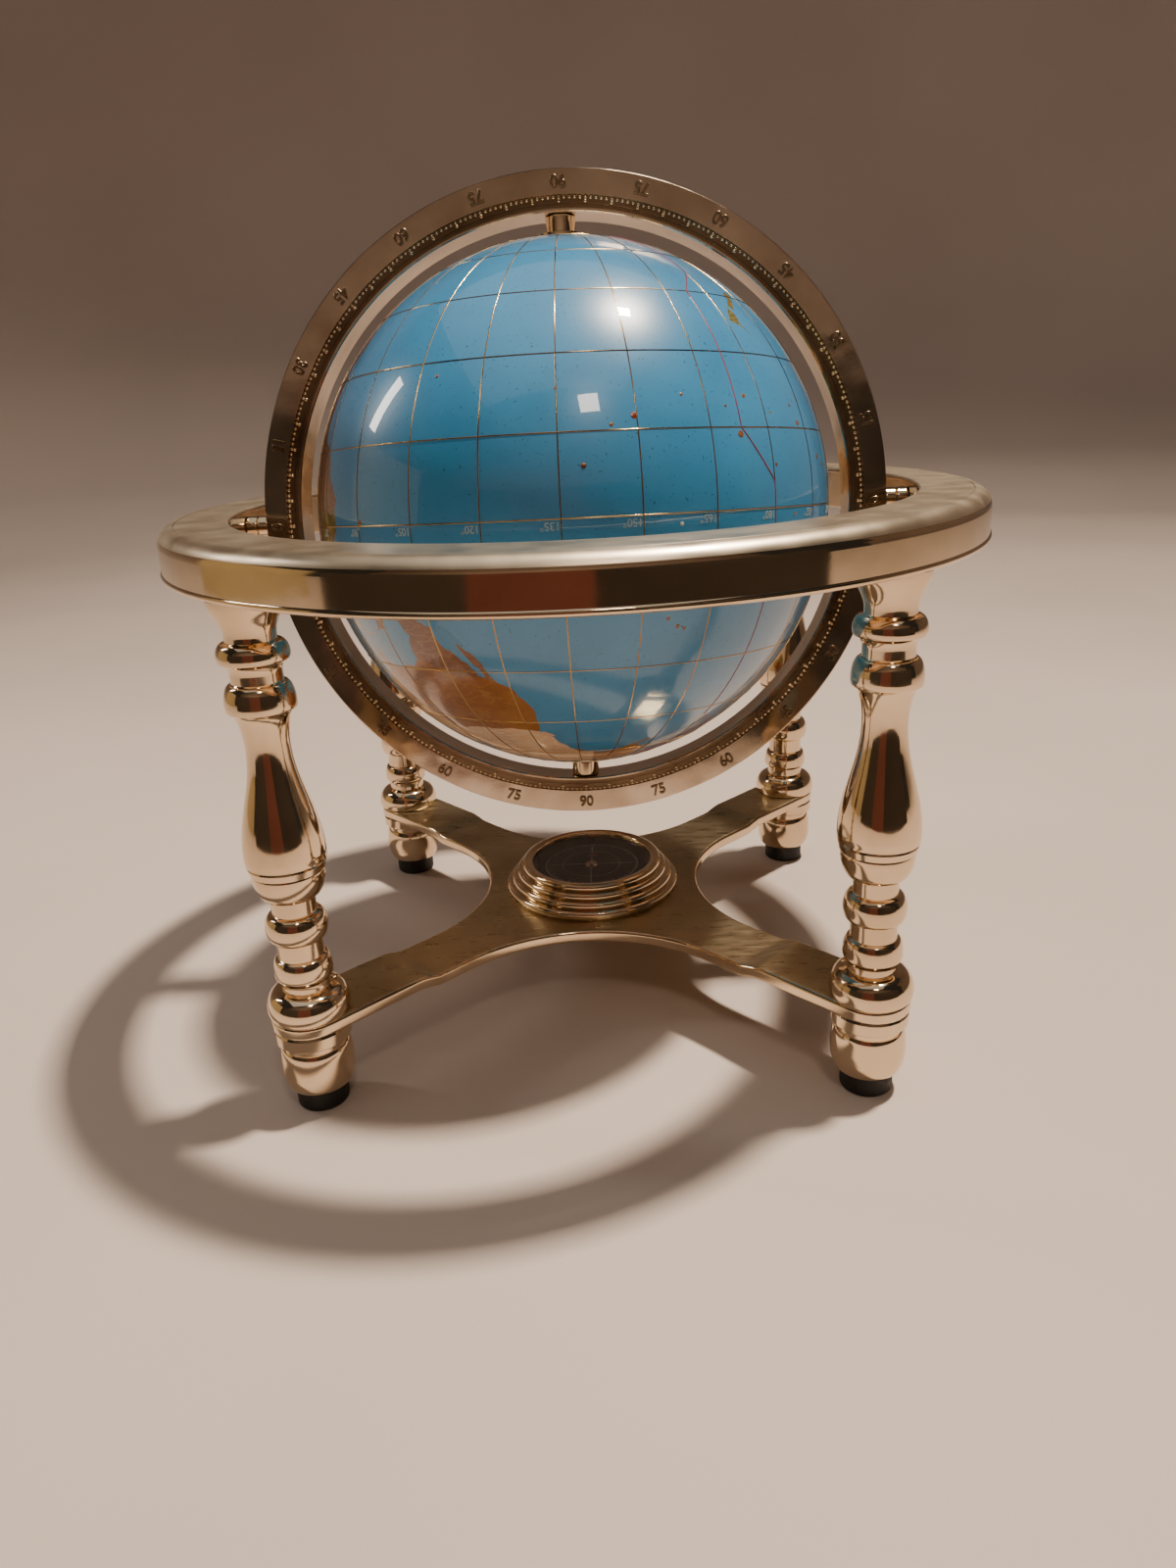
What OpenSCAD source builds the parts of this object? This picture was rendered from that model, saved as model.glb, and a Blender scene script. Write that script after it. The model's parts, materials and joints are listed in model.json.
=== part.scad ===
// Desktop gemstone globe in a swinging meridian ring, on a four-legged stand with a compass.
// Millimetres, +Z up. The origin is on the floor, straight below the globe's centre.

/* [Globe] */

// Diameter of the stone globe
globe_d = 150; // [130:1:155]
// Height of the globe's centre above the floor
globe_height = 151; // [150:1:170]
// Thickness of the inlaid stone skin
skin_t = 3; // [2:0.5:4]

/* [Meridian ring] */

// Lean of the meridian ring away from the front, in degrees, in the pose as built
ring_lean = 5.5; // [0:0.5:30]
// Air gap between the globe and the ring
globe_gap = 6; // [6:0.5:9]
// Width of the ring's graduated face
ring_face_w = 11; // [9:0.5:14]
// Thickness of the ring along its own axis
ring_t = 12; // [10:0.5:14]

/* [Horizon ring] */

// Air gap between the meridian ring and the horizon ring
pivot_gap = 7.2; // [6.5:0.1:10]
// Radial width of the horizon ring
horizon_w = 19.1; // [17:0.1:24]
// Height of the horizon ring
horizon_h = 12.8; // [11:0.1:16]
// Sheet thickness of the hollow horizon ring
horizon_wall = 1.5; // [1:0.1:2]

/* [Feet and base plate] */

// Height of a rubber foot pad
pad_h = 6; // [4:0.5:8]
// Height of a turned foot with its collar, from its pad to the base plate
foot_h = 19.4; // [18.5:0.1:24]
// Width of an arm of the base plate
arm_w = 21; // [16:0.5:21]
// Thickness of the base plate
plate_t = 4; // [3:0.5:5]
// Step down from the arms' ends to the middle of the plate
plate_drop = 1.4; // [1:0.1:3]
// Distance from the centre to the nearest edge of the plate
scallop_depth = 35.5; // [33:0.5:40]

/* [Compass] */

// Radius of the window in the compass bezel
window_r = 19.9; // [17:0.1:20]
// Number of rounded steps around the bezel
bezel_steps = 4; // [2:1:5]

/* [Hidden] */

$fn = 96;
skirt = 1; // how far a cutting shape runs past the face that it opens

globe_r = globe_d / 2;
core_r = globe_r - skin_t - 0.1;
core_t = 6;
meridian_inner_r = globe_r + globe_gap;
meridian_outer_r = meridian_inner_r + ring_face_w;
horizon_inner_r = meridian_outer_r + pivot_gap;
horizon_outer_r = horizon_inner_r + horizon_w;
horizon_top = globe_height + horizon_h * 0.445;
horizon_bottom = horizon_top - horizon_h;
shoulder_r = 4.7;
seam_r = horizon_outer_r - shoulder_r; // where the horizon ring's flat face meets its rim
lip_r = 0.9;

pole_pin_r = 2;
pole_bore_r = 2.06;
pole_head_r = 3.6;
pole_head_h = 2.4;
pole_seat_h = 3;
bush_r = 3.5;
bush_hole_r = 3.55;
flange_r = 7;
flange_t = 0.9;
pole_play = 0.3;

pivot_pin_r = 2;
pivot_bore_r = 2.06;
pivot_head_r = 3.8;
pivot_head_h = 2.6;

leg_circle_r = horizon_inner_r + horizon_w / 2;
foot_top = pad_h + foot_h;
leg_bottom = foot_top + plate_t;
leg_h = horizon_bottom - leg_bottom;
rod_r = 2;
rod_thread_r = 2.05;
rod_hole_r = 2.3;
boss_r = 4.7;
nut_flats_r = 3.5;
nut_h = 3.2;
washer_t = 0.8;
recess_r = 5;
recess_h = 5;

arm_top = leg_bottom;
plate_top = arm_top - plate_drop;
plate_bottom = plate_top - plate_t;
arm_end_r = 10.8;
joggle_r = 72;
joggle_run = 6;
scallop_r = (scallop_depth - arm_w / sqrt(2)) / (sqrt(2) - 1);
scallop_centre = scallop_depth + scallop_r;

ridge_r = 1.35;
bezel_h = 9.5;
bezel_base_r = window_r + 8.7;
cup_r = window_r + 0.9;
cup_wall = 1.4;
lens_r = cup_r - 0.3;
dial_floor = plate_top + 1.65;
card_z = plate_top + 4.9;
card_r = 16.4;
lens_z = plate_top + 7.05;
lens_t = 1.4;
card_pin_r = 0.5;
card_bore_r = 0.56;

gold = [0.83, 0.66, 0.42];
antique = [0.58, 0.44, 0.27];
steel = [0.6, 0.6, 0.62];
rubber = [0.07, 0.07, 0.07];
ocean = [0.16, 0.5, 0.68];
resin = [0.85, 0.83, 0.78];
black = [0.04, 0.05, 0.06];
clear = [0.85, 0.93, 0.95, 0.3];

// Each corner of the stand: its name and its turn about Z from the back right
CORNERS = [["back_right", 45], ["back_left", 135], ["front_left", 225], ["front_right", 315]];
// Each side pivot: its name and its turn about Z
SIDES = [["right", 0], ["left", 180]];
// Each pole: its name and its turn about X from straight up
POLES = [["south", 0], ["north", 180]];

// How a turned outline runs from one station to the next
LINE = 0; // straight
EASE = 1; // a smooth S
SWELL = 2; // a quarter of an ellipse, bulging outwards
COVE = 3; // a quarter of an ellipse, bulging inwards and widening upwards

// A point between two stations [height, radius, curve], where s runs from 0 to 1
function between(a, b, s) =
    a[2] <= EASE ? [a[1] + (b[1] - a[1]) * (a[2] == EASE ? (1 - cos(180 * s)) / 2 : s),
                    a[0] + (b[0] - a[0]) * s]
    : a[2] == COVE ? [a[1] + (b[1] - a[1]) * (1 - cos(90 * s)), a[0] + (b[0] - a[0]) * sin(90 * s)]
    : b[1] > a[1] ? [a[1] + (b[1] - a[1]) * sin(90 * s), a[0] + (b[0] - a[0]) * (1 - cos(90 * s))]
    : [b[1] + (a[1] - b[1]) * cos(90 * s), a[0] + (b[0] - a[0]) * sin(90 * s)];

// The outline of a turned piece through its stations, closed along the axis
function turned_outline(stations) =
    let (last = stations[len(stations) - 1])
    concat(
        [[0, stations[0][0]]],
        [for (k = [0 : len(stations) - 2])
            let (steps = stations[k][2] == LINE ? 1 : 6)
            for (i = [0 : steps - 1])
                between(stations[k], stations[k + 1], i / steps)],
        [[last[1], last[0]], [0, last[0]]]
    );

// From the big ball on the base plate, up through the vase, to the flare under the horizon ring
leg_stations = [
    [0, 10.7, SWELL], [2.2, 11.3, SWELL], [7.6, 7.5, LINE], [7.9, 6.7, LINE],
    [9.2, 6.6, COVE], [11.2, 7.4, SWELL], [12.6, 7.9, SWELL], [17.2, 6.6, LINE],
    [17.5, 6.2, LINE], [22.1, 6.1, LINE], [22.4, 6.5, SWELL], [26.2, 8.3, SWELL],
    [30.3, 6.3, LINE], [30.6, 5.9, LINE], [34.8, 5.9, SWELL], [46.6, 10.6, EASE],
    [76.6, 5.6, COVE], [86.5, 8.5, SWELL], [88.2, 8.8, SWELL], [93.4, 6.7, LINE],
    [93.7, 6.4, LINE], [95.8, 6.4, COVE], [98.8, 8.4, SWELL], [100.4, 8.9, SWELL],
    [103.8, 6.6, LINE], [104, 6.3, LINE], [105.1, 6.3, EASE], [leg_h, 9.3, LINE]
];
leg_groove_heights = [42.7, 45.2];
leg_groove_r = 0.45;

foot_stations = [
    [0, 7.6, SWELL], [6.8, 10.2, SWELL], [13.4, 9, LINE], [15.2, 9, LINE],
    [15.4, 10.1, LINE], [15.8, 10.5, LINE], [foot_h - 0.4, 10.5, LINE], [foot_h, 10.1, LINE]
];

module turned(stations) {
    rotate_extrude() polygon(turned_outline(stations));
}

module at_corner(turn) {
    rotate(turn) translate([leg_circle_r, 0, 0]) children();
}

// The meridian ring's own frame: its centre at the globe's centre, its poles along Z
module in_meridian() {
    translate([0, 0, globe_height]) rotate([-ring_lean, 0, 0]) children();
}

module tube(outer_r, inner_r, h) {
    difference() {
        cylinder(r = outer_r, h = h);
        translate([0, 0, -skirt]) cylinder(r = inner_r, h = h + 2 * skirt);
    }
}

// The flat top of the horizon ring, which its rim and its inner band are soldered to
module horizon_face() {
    color(gold) rotate_extrude()
        translate([horizon_inner_r, horizon_top - horizon_wall])
            square([seam_r - horizon_inner_r, horizon_wall]);
}

// The rim's outline from the seam outwards, pulled in by inset
module rim_section(inset) {
    translate([seam_r, horizon_top - shoulder_r]) circle(r = shoulder_r - inset);
    translate([seam_r, horizon_bottom]) square([shoulder_r - inset, horizon_h - shoulder_r]);
}

// The outer wall of the horizon ring, with its rounded shoulder and its rolled lower lip
module horizon_rim() {
    color(gold) rotate_extrude() {
        intersection() {
            difference() {
                rim_section(0);
                rim_section(horizon_wall);
            }
            translate([seam_r, horizon_bottom]) square([shoulder_r, horizon_h]);
        }
        translate([horizon_outer_r - lip_r / 2, horizon_bottom + lip_r]) circle(r = lip_r);
    }
}

// The inner wall of the horizon ring, bored for the two side pivots
module horizon_band() {
    color(gold) difference() {
        translate([0, 0, horizon_bottom])
            tube(horizon_inner_r + horizon_wall, horizon_inner_r, horizon_h - horizon_wall);
        for (s = SIDES)
            rotate(s[1]) translate([horizon_inner_r - skirt, 0, globe_height]) rotate([0, 90, 0])
                cylinder(r = pivot_bore_r, h = horizon_wall + 2 * skirt);
    }
}

module ring_boss(turn) {
    boss_h = horizon_h - horizon_wall - 0.05;
    color(antique) at_corner(turn) translate([0, 0, horizon_bottom]) difference() {
        cylinder(r = boss_r, h = boss_h);
        translate([0, 0, -skirt]) cylinder(r = rod_thread_r, h = boss_h - 2 + skirt);
    }
}

module leg(turn) {
    color(gold) at_corner(turn) translate([0, 0, leg_bottom]) difference() {
        turned(leg_stations);
        translate([0, 0, -skirt]) cylinder(r = rod_hole_r, h = leg_h + 2 * skirt);
        for (height = leg_groove_heights)
            translate([0, 0, height]) rotate_extrude()
                translate([leg_groove_reach(height), 0]) circle(r = leg_groove_r);
    }
}

// Radius of the vase's lower part at a height, where the grooves are cut
function leg_groove_reach(height) = 5.9 + 4.7 * sqrt(1 - pow((46.6 - height) / 11.8, 2)) + 0.1;

module tie_rod(turn) {
    color(steel) at_corner(turn) translate([0, 0, pad_h + 0.8])
        cylinder(r = rod_r, h = horizon_top - horizon_wall - 3 - pad_h - 0.8);
}

module foot(turn) {
    color(gold) at_corner(turn) translate([0, 0, pad_h]) difference() {
        turned(foot_stations);
        translate([0, 0, -skirt]) cylinder(r = recess_r, h = recess_h + skirt);
        cylinder(r = rod_hole_r, h = foot_h + skirt);
    }
}

module foot_pad(turn) {
    edge_r = 1;
    pad_r = 7.2;
    color(rubber) at_corner(turn) rotate_extrude() {
        square([pad_r - edge_r, pad_h]);
        translate([0, edge_r]) square([pad_r, pad_h - edge_r]);
        translate([pad_r - edge_r, edge_r]) circle(r = edge_r);
    }
}

module tie_washers() {
    color(steel) for (c = CORNERS) at_corner(c[1])
        translate([0, 0, pad_h + recess_h - washer_t]) tube(4.5, rod_hole_r, washer_t);
}

module tie_nuts() {
    color(steel) for (c = CORNERS) at_corner(c[1])
        translate([0, 0, pad_h + recess_h - washer_t - nut_h]) difference() {
            cylinder(r = nut_flats_r / cos(30), h = nut_h, $fn = 6);
            translate([0, 0, -skirt]) cylinder(r = rod_thread_r, h = nut_h + 2 * skirt);
        }
}

// One arm seen from the side, stepping up to its end
module arm_side() {
    polygon([
        [0, plate_bottom], [joggle_r, plate_bottom],
        [joggle_r + joggle_run, arm_top - plate_t], [leg_circle_r, arm_top - plate_t],
        [leg_circle_r, arm_top], [joggle_r + joggle_run, arm_top],
        [joggle_r, plate_top], [0, plate_top]
    ]);
}

// The middle of the plate: an octagon through the points where the scallops meet the arms
module plate_middle() {
    near = scallop_r / sqrt(2);
    far = scallop_centre - near;
    difference() {
        polygon([
            [near, far], [far, near], [far, -near], [near, -far],
            [-near, -far], [-far, -near], [-far, near], [-near, far]
        ]);
        for (turn = [0 : 90 : 270])
            rotate(turn) translate([scallop_centre, 0]) circle(r = scallop_r);
    }
}

module base_plate() {
    color(gold) difference() {
        union() {
            translate([0, 0, plate_bottom]) linear_extrude(plate_t) plate_middle();
            for (c = CORNERS) {
                rotate(c[1]) rotate([90, 0, 0]) linear_extrude(arm_w, center = true) arm_side();
                at_corner(c[1]) translate([0, 0, foot_top]) cylinder(r = arm_end_r, h = plate_t);
            }
        }
        for (c = CORNERS)
            at_corner(c[1]) translate([0, 0, foot_top - skirt])
                cylinder(r = rod_hole_r, h = plate_t + 2 * skirt);
        translate([0, 0, plate_bottom - skirt]) cylinder(r = 1.7, h = plate_t + 2 * skirt);
    }
}

// Runs through the horizon ring's inner band and ends in the meridian ring's bore
module pivot_screw(turn) {
    wall_x = horizon_inner_r + horizon_wall + 0.1;
    tip_x = meridian_outer_r - ring_face_w + 1.5;
    color(steel) rotate(turn) translate([0, 0, globe_height]) rotate([0, 90, 0]) {
        translate([0, 0, tip_x]) cylinder(r = pivot_pin_r, h = wall_x - tip_x + 0.2);
        translate([0, 0, wall_x]) cylinder(r = pivot_head_r, h = pivot_head_h);
    }
}

module pivot_sleeve(turn) {
    inner_x = meridian_outer_r + 0.5;
    outer_x = horizon_inner_r - 0.2;
    collar_t = 1.6;
    color(gold) rotate(turn) translate([0, 0, globe_height]) rotate([0, 90, 0]) {
        translate([0, 0, inner_x]) tube(3.5, pivot_pin_r + 0.02, outer_x - inner_x);
        translate([0, 0, outer_x - collar_t]) tube(4.6, pivot_pin_r + 0.02, collar_t);
    }
}

module compass_cup() {
    wall_h = lens_z - plate_top - 0.1;
    color(antique) translate([0, 0, plate_top + 0.05]) difference() {
        cylinder(r = cup_r - 0.05, h = wall_h);
        translate([0, 0, dial_floor - plate_top - 0.05]) cylinder(r = cup_r - cup_wall, h = wall_h);
        translate([0, 0, -skirt]) cylinder(r = 1.55, h = 3);
    }
}

module compass_bezel() {
    top_ridge_r = window_r + 2.1;
    base_ridge_r = bezel_base_r - 1;
    low = plate_top + ridge_r + 0.1;
    high = plate_top + bezel_h - ridge_r + 0.1;
    color(gold) rotate_extrude() {
        polygon([
            [cup_r, plate_top + 0.05], [bezel_base_r - 0.2, plate_top + 0.05],
            [bezel_base_r - 0.2, plate_top + 1.2], [top_ridge_r + 0.6, plate_top + bezel_h - 0.5],
            [cup_r, plate_top + bezel_h - 0.4]
        ]);
        translate([window_r, lens_z + lens_t + 0.1]) square([top_ridge_r - window_r, 0.8]);
        for (i = [0 : bezel_steps - 1]) {
            up = i / (bezel_steps - 1);
            translate([base_ridge_r + (top_ridge_r - base_ridge_r) * up, low + (high - low) * up])
                circle(r = ridge_r);
        }
    }
}

module compass_lens() {
    color(clear) translate([0, 0, lens_z]) cylinder(r = lens_r, h = lens_t);
}

module compass_dial() {
    color(black) translate([0, 0, dial_floor + 0.02]) cylinder(r = cup_r - cup_wall - 0.1, h = 0.8);
}

// A turned post with a fine steel point that the card's cap rides on
module compass_pivot() {
    base_z = dial_floor + 0.84;
    color(antique) translate([0, 0, base_z]) {
        cylinder(r1 = 2.4, r2 = 1, h = 1);
        cylinder(r = card_pin_r, h = card_z + 0.5 - base_z);
    }
}

module compass_screw() {
    color(steel) translate([0, 0, plate_bottom]) {
        translate([0, 0, -2.05]) cylinder(r = 3, h = 2);
        translate([0, 0, -0.1]) cylinder(r = 1.5, h = plate_t + 1.4);
    }
}

module compass_card() {
    color(black) translate([0, 0, card_z]) tube(card_r, 1.5, 0.7);
}

module card_cap() {
    color(gold) translate([0, 0, card_z - 0.7]) difference() {
        union() {
            cylinder(r = 1.45, h = 2);
            translate([0, 0, 1.45]) cylinder(r1 = 2.4, r2 = 1.4, h = 0.7);
        }
        translate([0, 0, -skirt]) cylinder(r = card_bore_r, h = 1.3 + skirt);
    }
}

module card_magnets() {
    color(steel) for (side = [-1, 1])
        translate([-10, side * 5 - 1, card_z - 1.25]) cube([20, 2, 1.2]);
}

module meridian_ring() {
    half = ring_t / 2;
    edge = 0.5;
    rim_w = 1;
    track_w = 3.3;
    track_depth = 0.5;
    color(antique) in_meridian() difference() {
        rotate([90, 0, 0]) rotate_extrude($fn = 180) difference() {
            polygon([
                [meridian_inner_r, -half], [meridian_outer_r - edge, -half],
                [meridian_outer_r, edge - half], [meridian_outer_r, half - edge],
                [meridian_outer_r - edge, half], [meridian_inner_r, half]
            ]);
            for (face = [-half - skirt, half - track_depth])
                translate([meridian_inner_r + rim_w, face]) square([track_w, track_depth + skirt]);
        }
        for (s = SIDES)
            rotate([0, 90 + s[1], 0]) translate([0, 0, meridian_inner_r - 2 * skirt])
                cylinder(r = pivot_bore_r, h = ring_face_w + 4 * skirt);
        for (p = POLES)
            rotate([p[1], 0, 0]) {
                translate([0, 0, meridian_inner_r - 2 * skirt])
                    cylinder(r = pole_pin_r + 0.02, h = ring_face_w + 4 * skirt);
                translate([0, 0, meridian_outer_r - pole_seat_h])
                    cylinder(r = pole_head_r + 0.1, h = pole_seat_h + skirt);
            }
    }
}

// A slotted screw, sunk in the meridian ring, whose plain end is the globe's axle
module pole_pin(turn) {
    tip = globe_r - 8;
    head_z = meridian_outer_r - pole_seat_h + 0.02;
    color(steel) in_meridian() rotate([turn, 0, 0]) difference() {
        union() {
            translate([0, 0, tip]) cylinder(r = pole_pin_r, h = head_z - tip + 0.2);
            translate([0, 0, head_z]) cylinder(r = pole_head_r, h = pole_head_h);
        }
        translate([-pole_head_r, -0.5, head_z + pole_head_h - 1]) cube([2 * pole_head_r, 1, 2]);
    }
}

module pole_spacer(turn) {
    low = globe_r + flange_t + pole_play;
    color(gold) in_meridian() rotate([turn, 0, 0]) translate([0, 0, low])
        tube(4.25, pole_pin_r + 0.02, meridian_inner_r - 0.15 - low);
}

// The globe turns on its two flanged bushes
module pole_bush(turn) {
    depth = 9;
    color(gold) in_meridian() rotate([turn, 0, 0]) difference() {
        union() {
            translate([0, 0, globe_r - depth]) cylinder(r = bush_r, h = depth + flange_t);
            translate([0, 0, globe_r]) cylinder(r = flange_r, h = flange_t);
        }
        translate([0, 0, globe_r - depth - skirt]) cylinder(r = pole_bore_r, h = depth + 4 * skirt);
    }
}

module globe_skin() {
    color(ocean) in_meridian() difference() {
        sphere(r = globe_r, $fn = 180);
        sphere(r = globe_r - skin_t, $fn = 180);
        for (p = POLES)
            rotate([p[1], 0, 0]) translate([0, 0, globe_r - 2 * skin_t])
                cylinder(r = bush_hole_r, h = 3 * skin_t);
    }
}

// Half of the cast core inside the stone skin
module globe_core(turn) {
    color(resin) in_meridian() rotate([turn, 0, 0]) difference() {
        sphere(r = core_r);
        sphere(r = core_r - core_t);
        translate([-globe_r, -globe_r, -globe_d + 0.05]) cube(globe_d);
        translate([0, 0, core_r - 2 * core_t]) cylinder(r = bush_hole_r, h = 3 * core_t);
    }
}

horizon_face();
horizon_rim();
horizon_band();
base_plate();
tie_washers();
tie_nuts();
for (c = CORNERS) {
    ring_boss(c[1]);
    leg(c[1]);
    tie_rod(c[1]);
    foot(c[1]);
    foot_pad(c[1]);
}
for (s = SIDES) {
    pivot_screw(s[1]);
    pivot_sleeve(s[1]);
}
compass_cup();
compass_bezel();
compass_lens();
compass_dial();
compass_pivot();
compass_screw();
compass_card();
card_cap();
card_magnets();
meridian_ring();
for (p = POLES) {
    pole_pin(p[1]);
    pole_spacer(p[1]);
    pole_bush(p[1]);
    globe_core(p[1]);
}
globe_skin();
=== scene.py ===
"""Looks of a desktop globe on its stand. Shapes are worked out in millimetres and made in metres."""

import json
import math
import random

import bmesh
import bpy
from mathutils import Matrix, Vector
from mathutils.geometry import delaunay_2d_cdt
from mathutils.kdtree import KDTree


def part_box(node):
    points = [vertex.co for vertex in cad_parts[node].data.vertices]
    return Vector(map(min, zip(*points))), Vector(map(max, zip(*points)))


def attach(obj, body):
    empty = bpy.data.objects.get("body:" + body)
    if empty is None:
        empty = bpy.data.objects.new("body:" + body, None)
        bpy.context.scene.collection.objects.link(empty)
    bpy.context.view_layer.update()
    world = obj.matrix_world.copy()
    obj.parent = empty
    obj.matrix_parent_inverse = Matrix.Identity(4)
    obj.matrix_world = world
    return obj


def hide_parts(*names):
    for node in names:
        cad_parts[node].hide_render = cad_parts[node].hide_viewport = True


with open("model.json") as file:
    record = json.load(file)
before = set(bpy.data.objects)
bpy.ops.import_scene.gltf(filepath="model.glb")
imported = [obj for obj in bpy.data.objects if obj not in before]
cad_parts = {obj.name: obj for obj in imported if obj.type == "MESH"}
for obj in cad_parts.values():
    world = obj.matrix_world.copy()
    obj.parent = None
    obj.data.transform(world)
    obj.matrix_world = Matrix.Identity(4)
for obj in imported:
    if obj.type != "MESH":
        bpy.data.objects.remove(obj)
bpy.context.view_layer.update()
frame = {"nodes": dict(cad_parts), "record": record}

MM = 0.001
CORNERS = ["back_right", "back_left", "front_left", "front_right"]


# ---------------- sizes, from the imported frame

def span(node):
    """A node's lowest and highest corners in millimetres."""
    low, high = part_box(node)
    return [c / MM for c in low], [c / MM for c in high]


def rotated(degrees, axis="Z"):
    return Matrix.Rotation(math.radians(degrees), 4, axis)


def shifted(x, y, z):
    return Matrix.Translation((x, y, z))


SPIN = next(j for j in frame["record"]["behaviour"]["joints"] if j["name"] == "globe_spin")
PIVOT = [c / MM for c in SPIN["pos_m"]]
LEAN = math.atan2(SPIN["axis"][1], SPIN["axis"][2])
GLOBE_R = 75.0
RING_IN, RING_OUT, RING_HALF = 81.0, 92.0, 6.0
PIN_BORE = 2.02  # inner radius of the sleeves and spacers on the pivot and pole screws
HORIZON_LOW, HORIZON_TOP = span("horizon_rim")[0][2], span("horizon_rim")[1][2]
HORIZON_IN, HORIZON_OUT = 99.2, 118.3
LEG_CIRCLE = (HORIZON_IN + HORIZON_OUT) / 2
LEG_LOW = span("leg_front_left")[0][2]
FOOT_LOW = span("foot_front_left")[0][2]
PLATE_TOP = LEG_LOW - 1.4
BEZEL_TOP = span("compass_bezel")[1][2]
CARD_TOP = span("compass_card")[1][2]

UPRIGHT = Matrix.Identity(4)
MERIDIAN = shifted(*PIVOT) @ Matrix.Rotation(-LEAN, 4, "X")
RING_AXIS = MERIDIAN @ rotated(90, "X")


def corner(i):
    """The upright frame of the i-th leg."""
    return rotated(45 + 90 * i) @ shifted(LEG_CIRCLE, 0, 0)


# ---------------- materials

class Paint:
    """A Principled material with short ways to wire procedural nodes into it."""

    def __init__(self, name, **sockets):
        self.material = bpy.data.materials.new(name)
        self.material.use_nodes = True
        self.tree = self.material.node_tree
        self.shader = self.tree.nodes["Principled BSDF"]
        for socket, value in sockets.items():
            self.shader.inputs[socket.replace("_", " ")].default_value = value
        self.place = self.node("ShaderNodeTexCoord", {}).outputs["Object"]

    def node(self, kind, values, **settings):
        made = self.tree.nodes.new(kind)
        for key, value in settings.items():
            setattr(made, key, value)
        for socket, value in values.items():
            made.inputs[socket].default_value = value
        return made

    def link(self, out, into):
        self.tree.links.new(out, into)

    def noise(self, scale, detail=4, stretch=(1, 1, 1)):
        """Cloudy noise from 0 to 1, at a scale in features per metre."""
        spot = self.node("ShaderNodeMapping", {"Scale": stretch})
        self.link(self.place, spot.inputs["Vector"])
        made = self.node("ShaderNodeTexNoise", {"Scale": scale, "Detail": detail})
        self.link(spot.outputs["Vector"], made.inputs["Vector"])
        return made.outputs["Fac"]

    def ramp(self, value, *stops):
        """Colours at stops of (position, colour)."""
        made = self.node("ShaderNodeValToRGB", {})
        band = made.color_ramp
        while len(band.elements) < len(stops):
            band.elements.new(0.5)
        for element, (position, colour) in zip(band.elements, stops):
            element.position = position
            element.color = (*colour, 1)
        self.link(value, made.inputs["Fac"])
        return made.outputs["Color"]

    def mix(self, fac, body, tint):
        """A body colour with a tint over it, as far as fac says."""
        made = self.node("ShaderNodeMix", {}, data_type="RGBA")
        self.link(fac, made.inputs["Factor"])
        self.link(body, made.inputs[6])
        made.inputs[7].default_value = (*tint, 1)
        return made.outputs[2]

    def remap(self, noise, low, high):
        """Noise spread over low to high; nearly all of it lies between 0.3 and 0.7."""
        limits = {"From Min": 0.3, "From Max": 0.7, "To Min": low, "To Max": high}
        made = self.node("ShaderNodeMapRange", limits)
        self.link(noise, made.inputs["Value"])
        return made.outputs["Result"]

    def colour(self, out):
        self.link(out, self.shader.inputs["Base Color"])

    def roughness(self, out):
        self.link(out, self.shader.inputs["Roughness"])

    def bump(self, value, depth):
        """Bump of a depth in millimetres, on top of any bump made before."""
        made = self.node("ShaderNodeBump", {"Strength": 1, "Distance": depth * MM})
        self.link(value, made.inputs["Height"])
        before = self.shader.inputs["Normal"].links
        if before:
            self.link(before[0].from_socket, made.inputs["Normal"])
        self.link(made.outputs["Normal"], self.shader.inputs["Normal"])


def metal(name, bright, dull, smooth, rough, dent=0.004, grain=(1, 1, 1), sway=0.0):
    """Plated or bare metal: cloudy tarnish, smudges in the gloss, slow waves and fine marks."""
    p = Paint(name, Metallic=1.0)
    cloud = p.noise(38, 5)
    p.colour(p.ramp(cloud, (0.35, dull), (0.62, bright)))
    p.roughness(p.remap(p.noise(110, 6, grain), smooth, rough))
    if sway:
        p.bump(p.noise(46, 2), sway)
    p.bump(p.noise(900, 3, grain), dent)
    return p.material


def stone(name, base, second, vein):
    """Polished inlaid stone under a clear coat."""
    black, white = (0, 0, 0), (1, 1, 1)
    p = Paint(name, Roughness=0.34, Coat_Weight=1.0, Coat_Roughness=0.03, IOR=1.5)
    body = p.ramp(p.noise(90, 6), (0.32, second), (0.6, base))
    streak = p.ramp(p.noise(153, 8, (1, 1, 3)), (0.46, black), (0.5, white), (0.54, black))
    p.colour(p.mix(streak, body, vein))
    return p.material


def ocean_stone():
    """Turquoise-blue composite with a fine speckle, under a clear coat."""
    p = Paint("ocean_stone", Roughness=0.3, Coat_Weight=1.0, Coat_Roughness=0.02, IOR=1.5)
    body = p.ramp(p.noise(30, 5), (0.3, (0.04, 0.228, 0.46)), (0.7, (0.056, 0.3, 0.59)))
    speck = p.ramp(p.noise(1500, 2), (0.27, (1, 1, 1)), (0.33, (0, 0, 0)))
    p.colour(p.mix(speck, body, (0.012, 0.085, 0.18)))
    return p.material


def plain(name, colour, shade, rough, scale=400, dent=0.01):
    """Paint, rubber or plastic with a little unevenness."""
    p = Paint(name)
    p.colour(p.ramp(p.noise(scale, 4), (0.35, shade), (0.65, colour)))
    p.roughness(p.remap(p.noise(scale * 2, 3), rough * 0.85, min(1, rough * 1.15)))
    p.bump(p.noise(scale * 3, 2), dent)
    return p.material


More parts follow.
